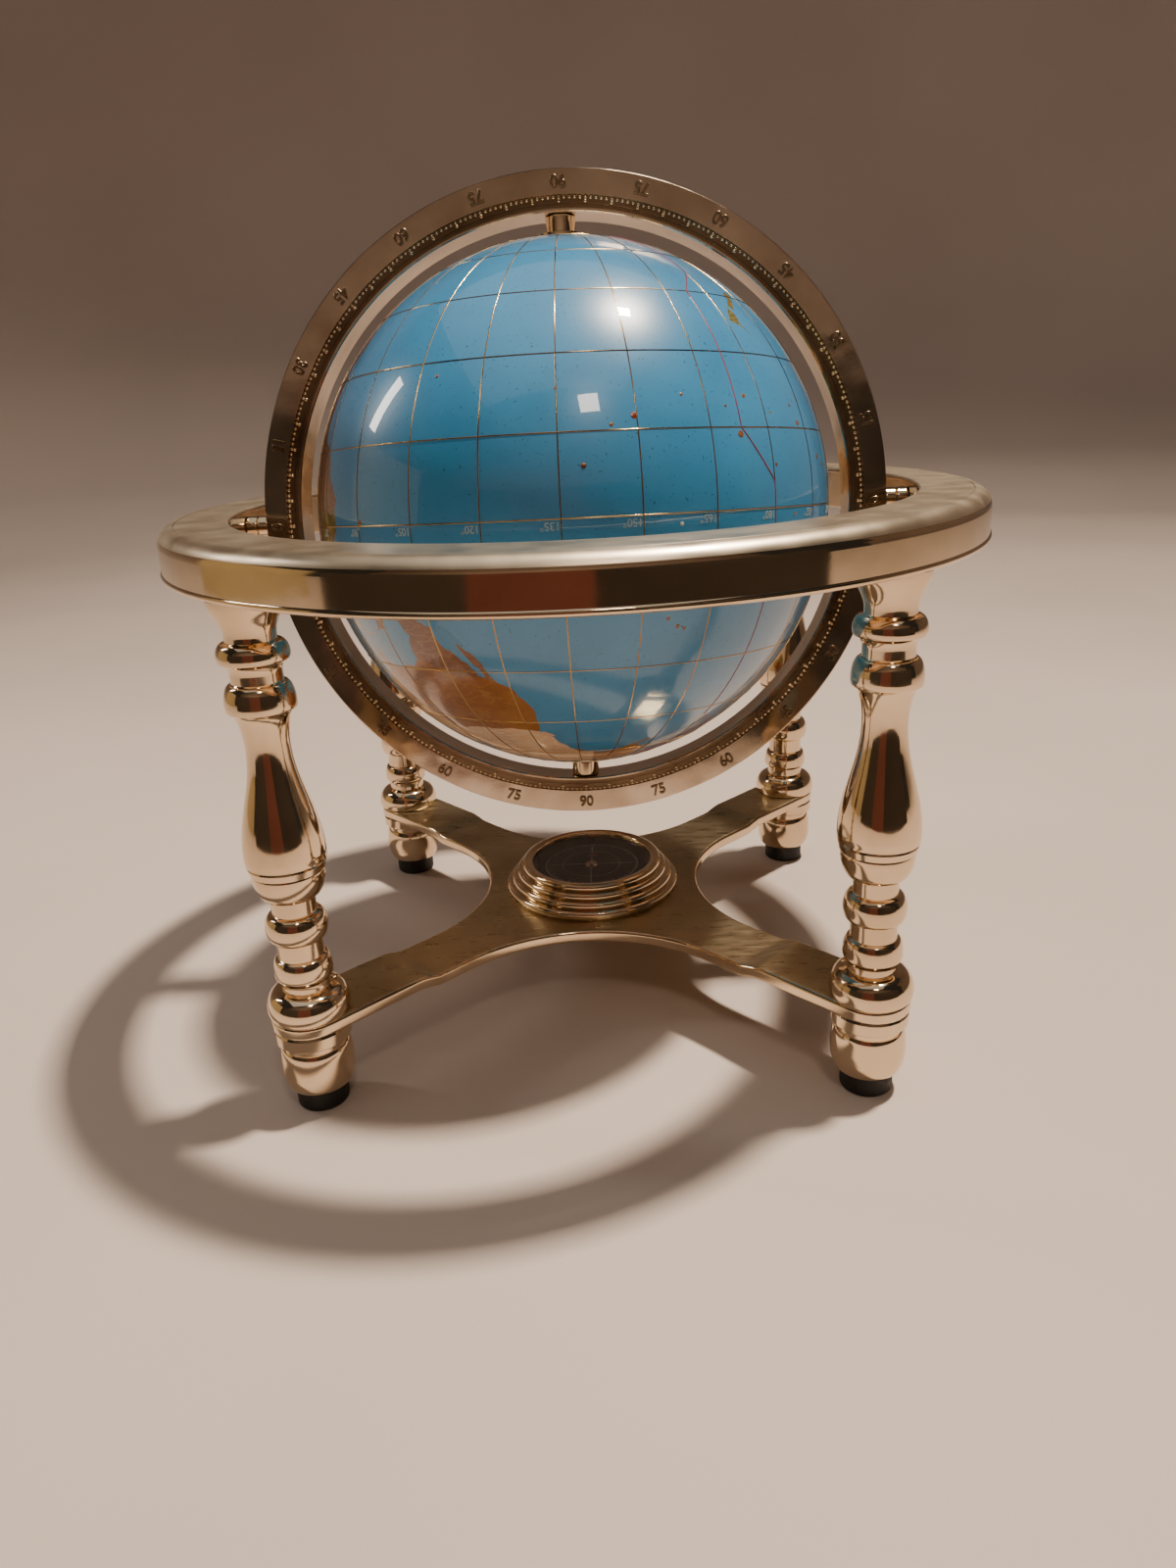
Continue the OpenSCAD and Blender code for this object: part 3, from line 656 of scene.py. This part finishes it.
COASTS = {
    "north_america": """
    -168,66 -162,66.5 -166,68 -163,69 -156,71 -150,70.5 -141,70 -136,69 -128,70 -120,69.5 -115,68 -108,68
    -102,67.5 -96,68 -95,72 -90,69 -88,68 -85,69.5 -82,69 -81,67 -87,65 -93,62 -95,59 -92,57 -88,56.5
    -82,55 -82,52.5 -79,51.5 -79,54 -77,56 -78,58.5 -77.5,62 -73,62 -70,59 -66,58.5 -64,60 -61,56.5 -57,54
    -56,52 -60,50 -66,50 -70,47 -65,48.5 -64.5,46.5 -61,46 -64,44.5 -67,45 -70,43.5 -70,41.5 -74,40.5
    -76,37 -76,35 -81,32 -80,27 -81,25.5 -83,29 -85,30 -89,30 -94,29.5 -97,27.5 -98,22 -96,19 -94,18
    -91,18.5 -90,21 -87,21.5 -88,17.5 -88,16 -84,16 -83.5,12 -82,9.5 -79.5,9.5 -77.5,8.5 -78,7.5 -80,7.5
    -83,8.5 -86,11 -88,13 -92,14.5 -95,16 -99,17 -105,20 -105.5,22.5 -109,26 -113,31 -114.5,31.5 -112,27
    -110,23 -112,25 -115,28 -117,32.5 -120.5,34.5 -122.5,37.5 -124,40 -124,46 -123,48.5 -127,51 -130,55
    -134,58 -139,60 -146,61 -151,60 -154,58.5 -160,56 -164,54.5 -160,57 -157.5,58.5 -162,59 -165,61
    -166,62 -161,64""",
    "south_america": """
    -77.5,8.5 -75.5,10.5 -72,12 -71,11.5 -68,11.5 -62,10.5 -57,6 -51,4.5 -50,0 -44,-2.5 -38,-4 -35,-6
    -35,-9 -39,-13 -39,-18 -41,-22 -45,-23.5 -48.5,-26 -49,-29 -53,-33.5 -58,-34.5 -57,-37 -62,-39 -65,-41
    -65,-45 -67.5,-46 -66,-48 -69,-50.5 -68.5,-52.5 -65.5,-55 -70,-55.5 -74,-52 -75.5,-47 -73,-42
    -73.5,-37 -71.5,-31 -70.5,-25 -70.5,-18.5 -76,-14 -79,-8 -81,-5 -80,-2 -80,1 -77.5,4""",
    "africa": """
    -6,35.5 -2,35 5,37 10,37 11,34 15,32.5 20,31 23,32.5 30,31 34,31 34.5,28 35.5,24 37.5,19 39,15.5 43,12
    45,10.5 51,11.5 48,5 42,-1.5 39,-6 40.5,-11 40,-15 35,-20 35,-24 32.5,-26 31,-30 27,-33.5 20,-34.7
    18,-32 15,-27 12,-18 13.5,-12 12,-5.5 9,-1 9.5,4 5,4.3 1,6 -7.5,4.3 -13,9 -17,13 -17.3,15 -16.5,20
    -14.5,26 -10,30 -9,33""",
    "eurasia": """
    -9,37 -9,43 -2,43.5 -1.5,46 -4.5,48.5 2,51 5,53.5 8.5,54 8,57 10.5,57.5 11,54.5 14,54 19,54.5 21,57
    24,59 29,60 22,60.5 21.5,63 25,65.5 21.5,65.5 17,61 19,60 16.5,57 14,55.5 12.5,56.5 11,59 8,58
    5.5,59.5 5.5,62 12,66 17,69 25,71 31,70 41,67 40,66 33.5,66.5 38,64 44,66 44,68 54,68.5 60,69 67,68.5
    68,72.5 73,71.5 75,72.5 81,72 87,75 98,76 105,77.5 113,74 120,73 130,71 140,72.5 152,71 160,69.5
    170,70 180,69 180,65 177.5,62.5 170,60 163,59 163,56 160,53 156.5,51 156,57 163,61.5 155,59.5 142,59
    135,54.5 141,52.5 140,48 135,43.5 130,42.5 127.5,39.5 129.5,36 126.5,34.5 126,37.5 124.5,40 121,39
    121,40.5 117.5,39 122,37 119.5,35 121.5,32 122,29.5 119.5,25.5 114,22.3 110,20.5 108,21.5 106,19
    109,13.5 107,10.5 105,9 102.5,12 100.5,13.5 99.5,10 101,7 103.5,2 104,1.3 101,3 98.5,8 98,14 97,17
    94.5,16 94,19.5 91.5,22.5 87,21.5 82,16.5 80,15 80,11 77.5,8 76,11 73,17 72.5,21 69,22 67,25 61.5,25
    57,27 51.5,27.5 50,30 48,30 50.5,26 51.5,24.5 54,24.5 56.5,26 59.5,22.5 57,18.5 52,16 45,12.8 43,14
    39,20.5 35,28 34,31 35.5,34 36,36.5 30.5,36.5 27.5,37 26.5,39.5 29,41 35,42 41,41 37.5,44.5 39,47
    35,46.5 35,45 33,45 31,46.5 28,44 28,41.5 23.5,40.5 24,38 22.5,36.8 19.5,41 19,42 13.5,45.5 12.5,44
    18,40 16,38.5 10.5,43 8.5,44.3 3.5,43.3 0,40.5 -2,37 -5.5,36""",
    "chukotka": "-180,69 -170,66 -180,65",
    "greenland": """
    -73,78 -60,82 -35,83.5 -20,82 -18,77 -22,70 -32,68 -40,65 -43,60 -48,61 -53,66 -54,70 -60,75.5 -68,76""",
    "australia": """
    114,-22 114,-26 115.5,-32 115.5,-34.5 118.5,-35 124,-33 129,-31.7 132,-32 135.5,-34.8 138,-34 140,-38
    144,-38.5 147,-38.8 150,-37.3 153,-32 153,-26.5 150.5,-23 146,-19 145.3,-15 142.5,-11 141.5,-14
    140.5,-17.5 136,-15 136.5,-12 132.5,-11.3 129.5,-15 126,-14 122,-18""",
    "baffin": "-62,66 -66,62.5 -72,64 -78,70 -89,73 -80,73.5 -70,70.5",
    "ellesmere": "-90,77 -78,76 -62,82.5 -80,83 -92,80",
    "victoria": "-117,71 -105,69 -102,72 -115,73.5",
    "banks": "-125,72 -118,73.5 -122,74.5",
    "devon": "-96,75 -80,75.5 -82,76.5 -95,76.8",
    "iceland": "-24,65.5 -22,63.8 -18,63.4 -13.5,65 -16,66.5 -22,66.4",
    "britain": "-5.5,50 1,51 1.5,52.7 -1.5,55 -2,57.5 -5,58.5 -5.5,56 -3,54.5 -5,52",
    "ireland": "-10,52 -6,52.2 -6,55 -9.5,54.2",
    "svalbard": "11,79 16,76.7 25,79.5 18,80.3",
    "novaya": "52,71 57,71 68,76.5 60,76",
    "honshu": "131,34 135.5,33.7 140,35.3 142,39.5 141,41.4 139.8,39 136.8,37.3 133,35.6",
    "kyushu": "130,33.5 130.3,31.2 132,33.3",
    "hokkaido": "140,42 145.5,43.3 142,45.5",
    "sakhalin": "142,46 143.5,49.5 142.8,54.2 142,50",
    "taiwan": "120.2,23 121,22 121.9,25",
    "luzon": "120.3,16 120.5,14 124,13 122,16 121.5,18.5",
    "mindanao": "122,7 125.5,6 126.3,8.5 124,8.6",
    "borneo": "109,1.5 110,-1.5 111.5,-3.3 116,-3.8 117.8,1 119,5 116.8,7 113,3.2",
    "sumatra": "95.3,5.5 98.6,2 101,-2.5 104.5,-5.8 106,-3 103.5,0 100.3,3 97.5,5.2",
    "java": "105.2,-6.8 108,-6.3 114.4,-7.7 114.3,-8.6 108.5,-7.8",
    "sulawesi": "119,-3 120,-5.5 121.5,-4.5 123,-4.8 121.5,-2 123.3,-0.8 120.3,0.4 125,1.4 120,1.2",
    "new_guinea": """
    131,-0.8 134,-0.9 137.5,-1.6 141,-2.7 145,-4.2 147.8,-6.2 147,-7 150.5,-10.4 147,-9.6 143,-9
    138.5,-8.2 138,-5.5 133,-4 132.5,-2.8""",
    "sri_lanka": "79.8,8 80.5,6 81.8,7 80.8,9.5",
    "madagascar": "49.3,-12.2 50.4,-15.8 47.2,-25 44,-25.2 43.5,-21.5 44.3,-16.5",
    "new_zealand_north": """
    172.8,-34.5 175.5,-36.8 178.4,-37.8 177,-39.6 175.3,-41.6 173.9,-39.3 174.7,-37.5""",
    "new_zealand_south": """
    172.8,-40.6 174.2,-41.8 171.2,-44.2 170.5,-46 168.5,-46.6 166.5,-45.8 170.5,-42.8""",
    "tasmania": "144.8,-40.8 148.3,-41 147,-43.6 145.5,-42.8",
    "cuba": "-85,22 -82,23 -77,21.5 -74.3,20.2 -77.6,19.9 -78.5,21.5 -82,22.5",
    "hispaniola": "-74.4,18.5 -73,20 -68.5,18.7 -71,17.8",
    "newfoundland": "-59.3,47.7 -53,46.8 -53.8,49.5 -56,51.5",
    "vancouver": "-128,50.7 -123.8,48.6 -125,50.2",
    "falklands": "-61,-52 -58,-51.5 -59.5,-51.2",
    "severnaya": "95,79 104,79 97,81",
    "new_siberian": "138,75 150,75 143,76",
    "new_caledonia": "164,-20.2 167,-22.3 165.5,-21.8",
    "fiji": "177.3,-18 178.6,-18 178,-17.4",
    "hawaii": "-156,19 -154.9,19.5 -155.8,20.2",
}
CASPIAN = "47,45 49,46.5 53,46.5 51.5,44 53,42 54,37 50,37.5 49,41"
DATE_LINE = "180,-84 180,-52 187.5,-45 187.5,-15 180,-5 180,48 170,53 191,65.5 180,75 180,84"
ANTARCTIC_COAST = """
    -180,-78 -160,-78 -150,-77 -135,-74.5 -120,-74 -100,-73 -80,-73 -68,-72 -68,-67 -60,-63.5 -57,-63.5
    -62,-67 -61,-74 -60,-75 -45,-78 -35,-78 -25,-75 -10,-71 0,-70 20,-70 40,-69 52,-66 60,-67.5 72,-69
    80,-68 95,-66 110,-66 130,-66 145,-67 160,-70 170,-72 165,-78 180,-78"""

# Borders, parted by semicolons. They run a little past the coasts, so that they always meet them
BORDERS = """
    -125,49 -95,49 -89,48 -84,46.5 -82.5,42.5 -79,43 -75,45 -71,45 -69,47.5 -67,44;
    -141,71 -141,60.3 -135,59.5 -130,54;
    -118,32.5 -111,31.3 -106.5,31.5 -103,29 -101,29.7 -99,26.5 -96,26;
    -92,13.5 -91,17.5 -87,18;
    -50.5,5 -52,2 -60,4.5 -64,2 -70,1 -70,-4 -73.5,-7.5 -70,-11 -65,-11 -60,-14 -58,-19 -55,-23.5 -54,-26
    -57.5,-30 -52.5,-34;
    -68,-52.5 -72,-50 -71.5,-44 -71.5,-38 -70,-33 -68.5,-27 -67,-22 -71.5,-18;
    -67,-22 -62,-22 -58,-25 -55,-27;
    -70.5,-18 -69,-15 -70,-11;
    -81,-3.5 -75,-2 -70,-4;
    -72,12.5 -72,8 -67.5,6 -67,1.5;
    25,33 25,20;
    25,22 38,22;
    8.5,38 8,33 10,27 12,23.5 4,19 -4.5,25 -8.5,27.5 -2,36;
    25,20 15,23 12,23.5;
    -18,16 -12,15 0,15 13,13.5 24,10 34,8 43.5,11.5;
    9,4 16,2.5 18,4.5 27,5 31,3 29.5,-5 30.5,-9 22,-11 17,-8 11,-6;
    31,3 46,4;
    11,-17 23,-17.5 24,-11;
    20,-18 20,-28 15,-29;
    20,-22 28,-22 33.5,-26;
    -3,43.5 4,42.5;
    1,51 6,49.5 8,48.5 7,46 7.5,43;
    14.5,55 15,51 12.5,50 13.5,48.5;
    31,71 29,67 31,63 28,60.2 28,56 31.5,53 34,51.5 40,49.5 38.5,46;
    48,45 51,51.5 60,51 62,54 71,54.5 77,53.5 80.5,51 87,49.2;
    87,49.2 92,50.5 98,50 102,51 107,49.5 116,49.8 120,53 126,53 131,47.8 134.5,48.4 131,45 130.5,42;
    87,49.2 91,45.5 96,42.7 105,41.7 112,43.7 116,46.5 119.5,47 116,49.8;
    87,49.2 83,46 80,42.5 74,39.5;
    53,37.3 61,36.5 66.5,37.5 74,37.3 74,39.5;
    52,42 60,43 68,41.5 80,42.5;
    67,24 70.5,28 74.5,31 74.5,34.5 79,32 81,30.2 88,27.5 92,27.5 97,28.3 98.5,25 101,21.5 105,23 109,21;
    97,28 93.5,24 92,21;
    44.5,39.5 45.5,36 46,33 48.5,29.5;
    35,36.5 42,37.2 44.5,39.5 41.5,42;
    34,29.5 38.5,31.5 42,31 46.5,29 49,29;
    61.5,24 62,29 61,36.5;
    62,29 66,30 70,34 74,37;
    98.5,25 97.5,18 99,11;
    101,21.5 105,18 106,14.5 103,11;
    129,-13 129,-33;
    138,-16 138,-26 141,-26 141,-39;
    129,-26 138,-26;
    141,-29 149,-29 154.5,-28"""

# A place in each country or group of countries, for each stone
INLAYS = {
    "copper": "-152,65 -100,40 -65,8 5,17 -4,40 78,22 127,36 122,-26",
    "cream": "-112,58 -70,67 5,10 14,65 65,39",
    "rose": "-103,24 -75,-9 2,28 17,-13 20,48 105,33 134,-21",
    "olive": "-86,14 -73,4 18,28 28,-19 103,46 53,33 114,1 172,-43 176,-38.5",
    "pearl": "-40,72 -58,-23 38,6 68,28 60,-80",
    "jasper": "-52,-10 30,15 24,-30 60,60 130,62 66,33 145,-23 140,-5 -156,19.5",
    "sand": "-66,-35 30,26 36,-6 10,51 68,48 46,23 101,16 135,-29 -18,65 -79,21.7",
    "red": "-71.2,-36 -5,31 33,39 105,21 138,36 -2,53 47,-19",
    "green": "-64,-17 20,-2 2,47 95,22 146,-33",
    "grey": "17,-23 38,34",
}


def on_globe(east, north, radius=GLOBE_R):
    """A place on the globe in the globe's own frame, whose south pole points up."""
    turn_angle, rise = math.radians(FACING - east), math.radians(north)
    flat = radius * math.cos(rise)
    return Vector((flat * math.sin(turn_angle), -flat * math.cos(turn_angle), -radius * math.sin(rise)))


def broken(a, b, wobble, dice):
    """Points strictly between a and b, thrown off the straight line more and more finely."""
    gap = b - a
    if gap.length < COAST_STEP:
        return []
    on_seam = abs(a.x) == 180 and abs(b.x) == 180
    aside = 0 if on_seam else dice.uniform(-wobble, wobble)
    middle = (a + b) / 2 + Vector((-gap.y, gap.x)) * aside
    return broken(a, middle, wobble, dice) + [middle] + broken(middle, b, wobble, dice)


def jagged(points, closed, wobble, dice):
    """A coast or border with its straight stretches broken up."""
    corners = [Vector(p) for p in points]
    out = []
    for i in range(len(corners) if closed else len(corners) - 1):
        a, b = corners[i], corners[(i + 1) % len(corners)]
        out += [a] + broken(a, b, wobble, dice)
    return out if closed else out + [corners[-1]]


def inside(place, outline):
    """Whether an outline goes round a place."""
    within = False
    for a, b in zip(outline, outline[1:] + outline[:1]):
        if (a.y > place.y) != (b.y > place.y):
            crossing = a.x + (place.y - a.y) / (b.y - a.y) * (b.x - a.x)
            within = within != (place.x < crossing)
    return within


def cut_map(land, sea, ice, borders):
    """The map cut along its lines: points, triangles, each triangle's neighbours in its own region."""
    columns = [GRID * i - 180 for i in range(360 // GRID + 1)]
    rows = [-LAST_LAT] + [GRID * j for j in range(-28, 29)] + [LAST_LAT]
    points = [Vector((x, y)) for y in rows for x in columns]
    cuts = []
    # coasts and the sea are closed; the edge of the ice and the borders are not
    for i, line in enumerate(land + [sea, ice] + borders):
        closed = i <= len(land)
        first, count = len(points), len(line)
        points += line
        cuts += [(first + k, first + (k + 1) % count) for k in range(count if closed else count - 1)]
    spots, sides, triangles, _, from_cuts, _ = delaunay_2d_cdt(points, cuts, [], 0, 1e-5)

    walls = {tuple(sorted(side)) for side, sources in zip(sides, from_cuts) if sources}
    neighbours = {}
    for t, triangle in enumerate(triangles):
        for i in range(3):
            side = tuple(sorted((triangle[i], triangle[i - 2])))
            neighbours.setdefault(side, []).append(t)
    touching = [[] for _ in triangles]
    for side, pair in neighbours.items():
        if len(pair) == 2 and side not in walls:
            touching[pair[0]].append(pair[1])
            touching[pair[1]].append(pair[0])
    return spots, triangles, touching


def map_regions():
    """The map as triangles in degrees: points, triangles, and the stone of each triangle."""
    dice = random.Random(7)
    land = [jagged(places(outline), True, COAST_WOBBLE, dice) for outline in COASTS.values()]
    ice = jagged(places(ANTARCTIC_COAST), False, COAST_WOBBLE, dice)
    sea = jagged(places(CASPIAN), True, COAST_WOBBLE, dice)
    borders = [jagged(places(line), False, COAST_WOBBLE / 2, dice) for line in BORDERS.split(";")]
    spots, triangles, touching = cut_map(land, sea, ice, borders)

    centres = [sum((spots[v] for v in triangle), Vector((0, 0))) / 3 for triangle in triangles]
    tree = KDTree(len(centres))
    for t, centre in enumerate(centres):
        tree.insert((centre.x, centre.y, 0), t)
    tree.balance()
    inlays = [(Vector(place), name) for name, text in INLAYS.items() for place in places(text)]
    seeded = {tree.find((*place, 0))[1]: name for place, name in inlays}

    def size(t):
        a, b, c = (spots[v] for v in triangles[t])
        return abs((b - a).cross(c - a))

    shores = land + [ice + [Vector((180, -90)), Vector((-180, -90))]]
    stones = [None] * len(triangles)
    for start in range(len(triangles)):
        if stones[start]:
            continue
        region, edge = {start}, [start]
        while edge:
            for t in touching[edge.pop()]:
                if t not in region:
                    region.add(t)
                    edge.append(t)
        middle = centres[max(region, key=size)]
        name = "ocean"
        if any(inside(middle, shore) for shore in shores) and not inside(middle, sea):
            chosen = [seeded[t] for t in sorted(region) if t in seeded]
            nearest = min(inlays, key=lambda inlay: (inlay[0] - middle).length)
            name = chosen[0] if chosen else nearest[1]
        for t in region:
            stones[t] = name
    return spots, triangles, stones


def globe_map():
    """The stone skin: its map outside, its plain inner face and the walls of its two pole holes."""
    spots, triangles, stones = map_regions()
    names = ["ocean"] + sorted(STONES)
    points = [on_globe(p.x, p.y) for p in spots]
    faces = [list(t) for t in triangles]
    slots = [names.index(s) for s in stones]
    columns = [GRID * i - 180 for i in range(360 // GRID)]
    inner_rows = [-LAST_LAT] + [6 * j for j in range(-14, 15)] + [LAST_LAT]
    rings = [[on_globe(x, y, GLOBE_R - 3) for x in columns] for y in inner_rows]
    rings = [[on_globe(x, -LAST_LAT) for x in columns]] + rings + [[on_globe(x, LAST_LAT) for x in columns]]
    first, count = len(points), len(columns)
    for ring in rings:
        points += ring
    for j in range(len(rings) - 1):
        for i in range(count):
            a, b = first + j * count + i, first + j * count + (i + 1) % count
            faces.append([a, b, b + count, a + count])
            slots.append(0)
    piece = add_mesh("globe_map", [MERIDIAN @ p for p in points], faces,
                     [OCEAN] + [STONES[name] for name in names[1:]], slots)
    smooth(piece.data, 50, join=0.002)
    centre, outer = MERIDIAN.translation * MM, GLOBE_R * MM
    normals = []
    for v in piece.data.vertices:
        away = v.co - centre
        on_skin = abs(away.length - outer) < 0.01 * MM
        normals.append(tuple(away.normalized()) if on_skin else (0, 0, 0))
    piece.data.normals_split_custom_set_from_vertices(normals)
    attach(piece, "globe")
    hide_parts("globe_skin")


def sweep(path, radius, closed=False, sides=6):
    """A thin tube on the globe along a path around its centre, with the globe's frame."""
    points, faces = [], []
    count = len(path)
    for i, p in enumerate(path):
        before = path[i - 1] if closed or i else p
        after = path[(i + 1) % count] if closed or i < count - 1 else p
        out = p.normalized()
        across = (after - before).cross(out).normalized()
        for k in range(sides):
            a = 2 * math.pi * k / sides
            points.append(p + (across * math.cos(a) + out * math.sin(a)) * radius)
    for i in range(count if closed else count - 1):
        low, high = i * sides, (i + 1) % count * sides
        for k in range(sides):
            n = (k + 1) % sides
            faces.append([low + k, low + n, high + n, high + k])
    if not closed:
        faces += [list(range(sides)), list(range((count - 1) * sides, count * sides))]
    return points, faces, MERIDIAN


def globe_lines():
    """Gold wires along every 15 degrees, and the date line."""
    lie = GLOBE_R - 0.1
    wire_r, date_r = 0.21, 0.22
    wires = []
    for east in range(-180, 180, 15):
        wires.append(sweep([on_globe(east, north, lie) for north in range(-84, 85, 3)], wire_r))
    for north in range(-75, 76, 15):
        wires.append(sweep([on_globe(east, north, lie) for east in range(-180, 180, 3)], wire_r, True))
    build("gold_wires", "globe", *merged(wires), [WIRE], "polished_gold", crease=60)

    corners = [Vector(p) for p in places(DATE_LINE)]
    path = []
    for a, b in zip(corners, corners[1:]):
        steps = max(2, round((b - a).length / 2.5))
        path += [on_globe(*a.lerp(b, k / steps), lie) for k in range(steps)]
    path.append(on_globe(*corners[-1], lie))
    build("date_line", "globe", *merged([sweep(path, date_r)]), [DATE_RED], "inlaid_stone", crease=60)


# Small islands of each stone, as east,north,radius in millimetres
ISLANDS = {
    "copper": """
    -145,-16,0.5 -175,-21,0.6 -159.7,-21.2,0.45 179,-8,0.5 -134.9,-23.1,0.4 168,-16,0.8 169.5,-19.5,0.5
    173,1.4,0.5 171,7,0.4 158.2,6.9,0.5 -157.9,21.4,0.6 -159.5,22,0.5 -16,28.3,0.6 -23.8,15.1,0.5
    -61,14.5,0.4 33.2,35,0.6 24.9,35.2,0.6""",
    "green": "-77.3,18.1,0.6",
    "grey": "69.5,-49.3,0.7 -36.5,-54.4,0.7",
    "jasper": """
    -139.5,-9,0.7 -172,-13.7,0.9 -169.5,-19,0.4 -90.5,-0.6,0.8 -109.4,-27.1,0.5 160,-9.5,0.8 157,-8,0.6
    144.8,13.5,0.5""",
    "pearl": "-157.4,1.9,0.5",
    "red": "-149.5,-17.5,0.85 57.6,-20.3,0.6 -25.5,37.8,0.5 55.5,-4.6,0.4 -66.4,18.2,0.6",
    "rose": "14.2,37.5,0.9 9,40,0.8",
}


def islands():
    """Small domed dots of stone, one piece for each kind of stone."""
    for name, text in ISLANDS.items():
        dots = []
        for east, north, size in places(text):
            out = on_globe(east, north).normalized()
            upright = out.to_track_quat("Z", "Y").to_matrix().to_4x4()
            cap = [(size, -0.1), (size, 0.05), (size * 0.85, 0.1), (0, 0.11)]
            dots.append((*revolved(cap, False, 7), MERIDIAN @ shifted(*out * (GLOBE_R - 0.06)) @ upright))
        build(f"islands_{name}", "globe", *merged(dots), [STONES[name]], "inlaid_stone", crease=40)


def equator_figures():
    """Longitudes printed beside each wire, just north of the equator, with their tops to the north."""
    gap, rise = 0.7, 1.7  # from the wire to the figures, and from the equator to their middle
    labels = []
    for east in range(-180, 180, 15):
        points, faces = glyphs(str(abs(east)) + "°", 2.75, 0.05)
        reach = max(p[0] for p in points)
        placed = []
        for x, y, z in points:
            across = math.degrees((x + reach + gap) / GLOBE_R)
            up = math.degrees((y + rise) / GLOBE_R)
            placed.append(on_globe(east + across, up, GLOBE_R - 0.01 + z))
        labels.append((placed, faces, MERIDIAN))
    build("equator_figures", "globe", *merged(labels), [LABEL], "inlaid_stone", crease=30)


# ---------------- hidden and small parts from the CAD model

FINISHES = {
    "polished_gold": GOLD, "hazed_gold": HAZED, "antique_brass": ANTIQUE, "plain_brass": BRASS,
    "plain_steel": STEEL, "rubber_pad": RUBBER, "black_dial": DIAL, "clear_glass": GLASS,
    "inlaid_stone": OCEAN, "cast_core": CORE,
}


def paint_nodes():
    """Gives each node of the CAD model its finish."""
    for part in frame["record"]["subparts"]:
        mesh = frame["nodes"][part["node"]].data
        mesh.materials.clear()
        mesh.materials.append(FINISHES[part["material_slot"]])


# ---------------- the studio

def studio():
    """A pale floor that curves up into a plain wall behind, with soft lights round the object."""
    profile = [(0, 0), (500, 0), (900, 0), (1300, 0), (1600, 60), (1800, 260), (1880, 600), (1880, 1700)]
    columns, flat_rows = 96, 3
    open_front = -300  # the wall stands only behind this y
    points, faces = revolved(profile, False, columns)
    floor_faces = columns * flat_rows
    behind = [f for f in faces[floor_faces:] if sum(points[v][1] for v in f) / len(f) > open_front]
    paper = plain("studio_paper", (0.6, 0.5, 0.44), (0.56, 0.465, 0.41), 0.7, scale=3, dent=0.0)
    floor = add_mesh("studio_floor", points, faces[:floor_faces] + behind, [paper])
    floor.data.polygons.foreach_set("use_smooth", [True] * len(floor.data.polygons))

    def area(name, at, aim, width, height, power, tint, spread=180):
        data = bpy.data.lights.new(name, "AREA")
        data.shape = "RECTANGLE"
        data.size, data.size_y = width, height
        data.energy, data.color, data.spread = power, tint, math.radians(spread)
        lamp = add(name, data)
        lamp.location = at
        lamp.rotation_euler = (Vector(aim) - Vector(at)).to_track_quat("-Z", "Y").to_euler()

    warm, mild = (1.0, 0.86, 0.7), (1.0, 0.93, 0.85)
    area("key", (0.66, 0.2, 2.3), (0, 0, 0.1), 0.14, 0.14, 17, warm, 80)
    area("front", (0.17, -0.72, 0.98), (0, 0, 0.14), 0.14, 0.14, 1.3, warm)
    area("left", (-0.95, 0.2, 0.72), (0, 0, 0.14), 0.1, 0.3, 1.6, mild)
    area("overhead", (-0.15, 0.0, 1.9), (0, 0, 0), 2.4, 2.0, 4.2, mild, 130)

    def board(name, colour, start, end, height, shown=False):
        """A board standing on the floor, for the polished metal to mirror."""
        corners = [(*start, 0), (*end, 0), (*end, height), (*start, height)]
        paint = plain(name, colour, tuple(c * 0.85 for c in colour), 0.8, scale=3, dent=0.0)
        made = add_mesh(name, corners, [[0, 1, 2, 3]], [paint])
        made.visible_camera = made.visible_shadow = made.visible_diffuse = shown

    board("studio_dark_left", (0.03, 0.024, 0.02), (-520, -330), (-190, -470), 290)
    board("studio_warm_front", (0.13, 0.04, 0.028), (-190, -470), (50, -480), 290)
    board("studio_dark_right", (0.03, 0.024, 0.02), (50, -480), (560, -300), 290)
    board("studio_pale_left", (0.5, 0.42, 0.24), (-950, -450), (-950, 250), 500)
    board("studio_pale_front", (0.52, 0.44, 0.39), (-1500, -1250), (1500, -1250), 1500, shown=True)

    world = bpy.data.worlds.new("studio_air")
    bpy.context.scene.world = world
    world.use_nodes = True
    air = world.node_tree.nodes["Background"].inputs
    air["Color"].default_value = (0.046, 0.04, 0.035, 1)
    air["Strength"].default_value = 0.6


def camera():
    """Stands a third of a metre in front, a little above and to the right, looking down."""
    data = bpy.data.cameras.new("front_camera")
    data.sensor_fit = "VERTICAL"
    data.sensor_height = 36
    data.lens = 24.37
    data.clip_start = 0.01
    down, aside, tilt = 0.361, -0.038, -0.050  # radians
    forward = Vector((math.sin(aside) * math.cos(down), math.cos(aside) * math.cos(down), -math.sin(down)))
    level = Vector((math.cos(aside), -math.sin(aside), 0))
    above = level.cross(forward)
    right = level * math.cos(tilt) + above * math.sin(tilt)
    up = above * math.cos(tilt) - level * math.sin(tilt)
    turned = Matrix((right, up, -forward)).transposed().to_4x4()
    eye = add("front_camera", data)
    eye.matrix_world = Matrix.Translation(Vector((12.6, -328.2, 187.6)) * MM) @ turned
    bpy.context.scene.camera = eye


camera()
studio()
paint_nodes()
horizon_ring()
legs_and_feet()
base_plate()
compass()
side_pivots()
meridian_ring()
pole_fittings()
globe_map()
globe_lines()
islands()
equator_figures()
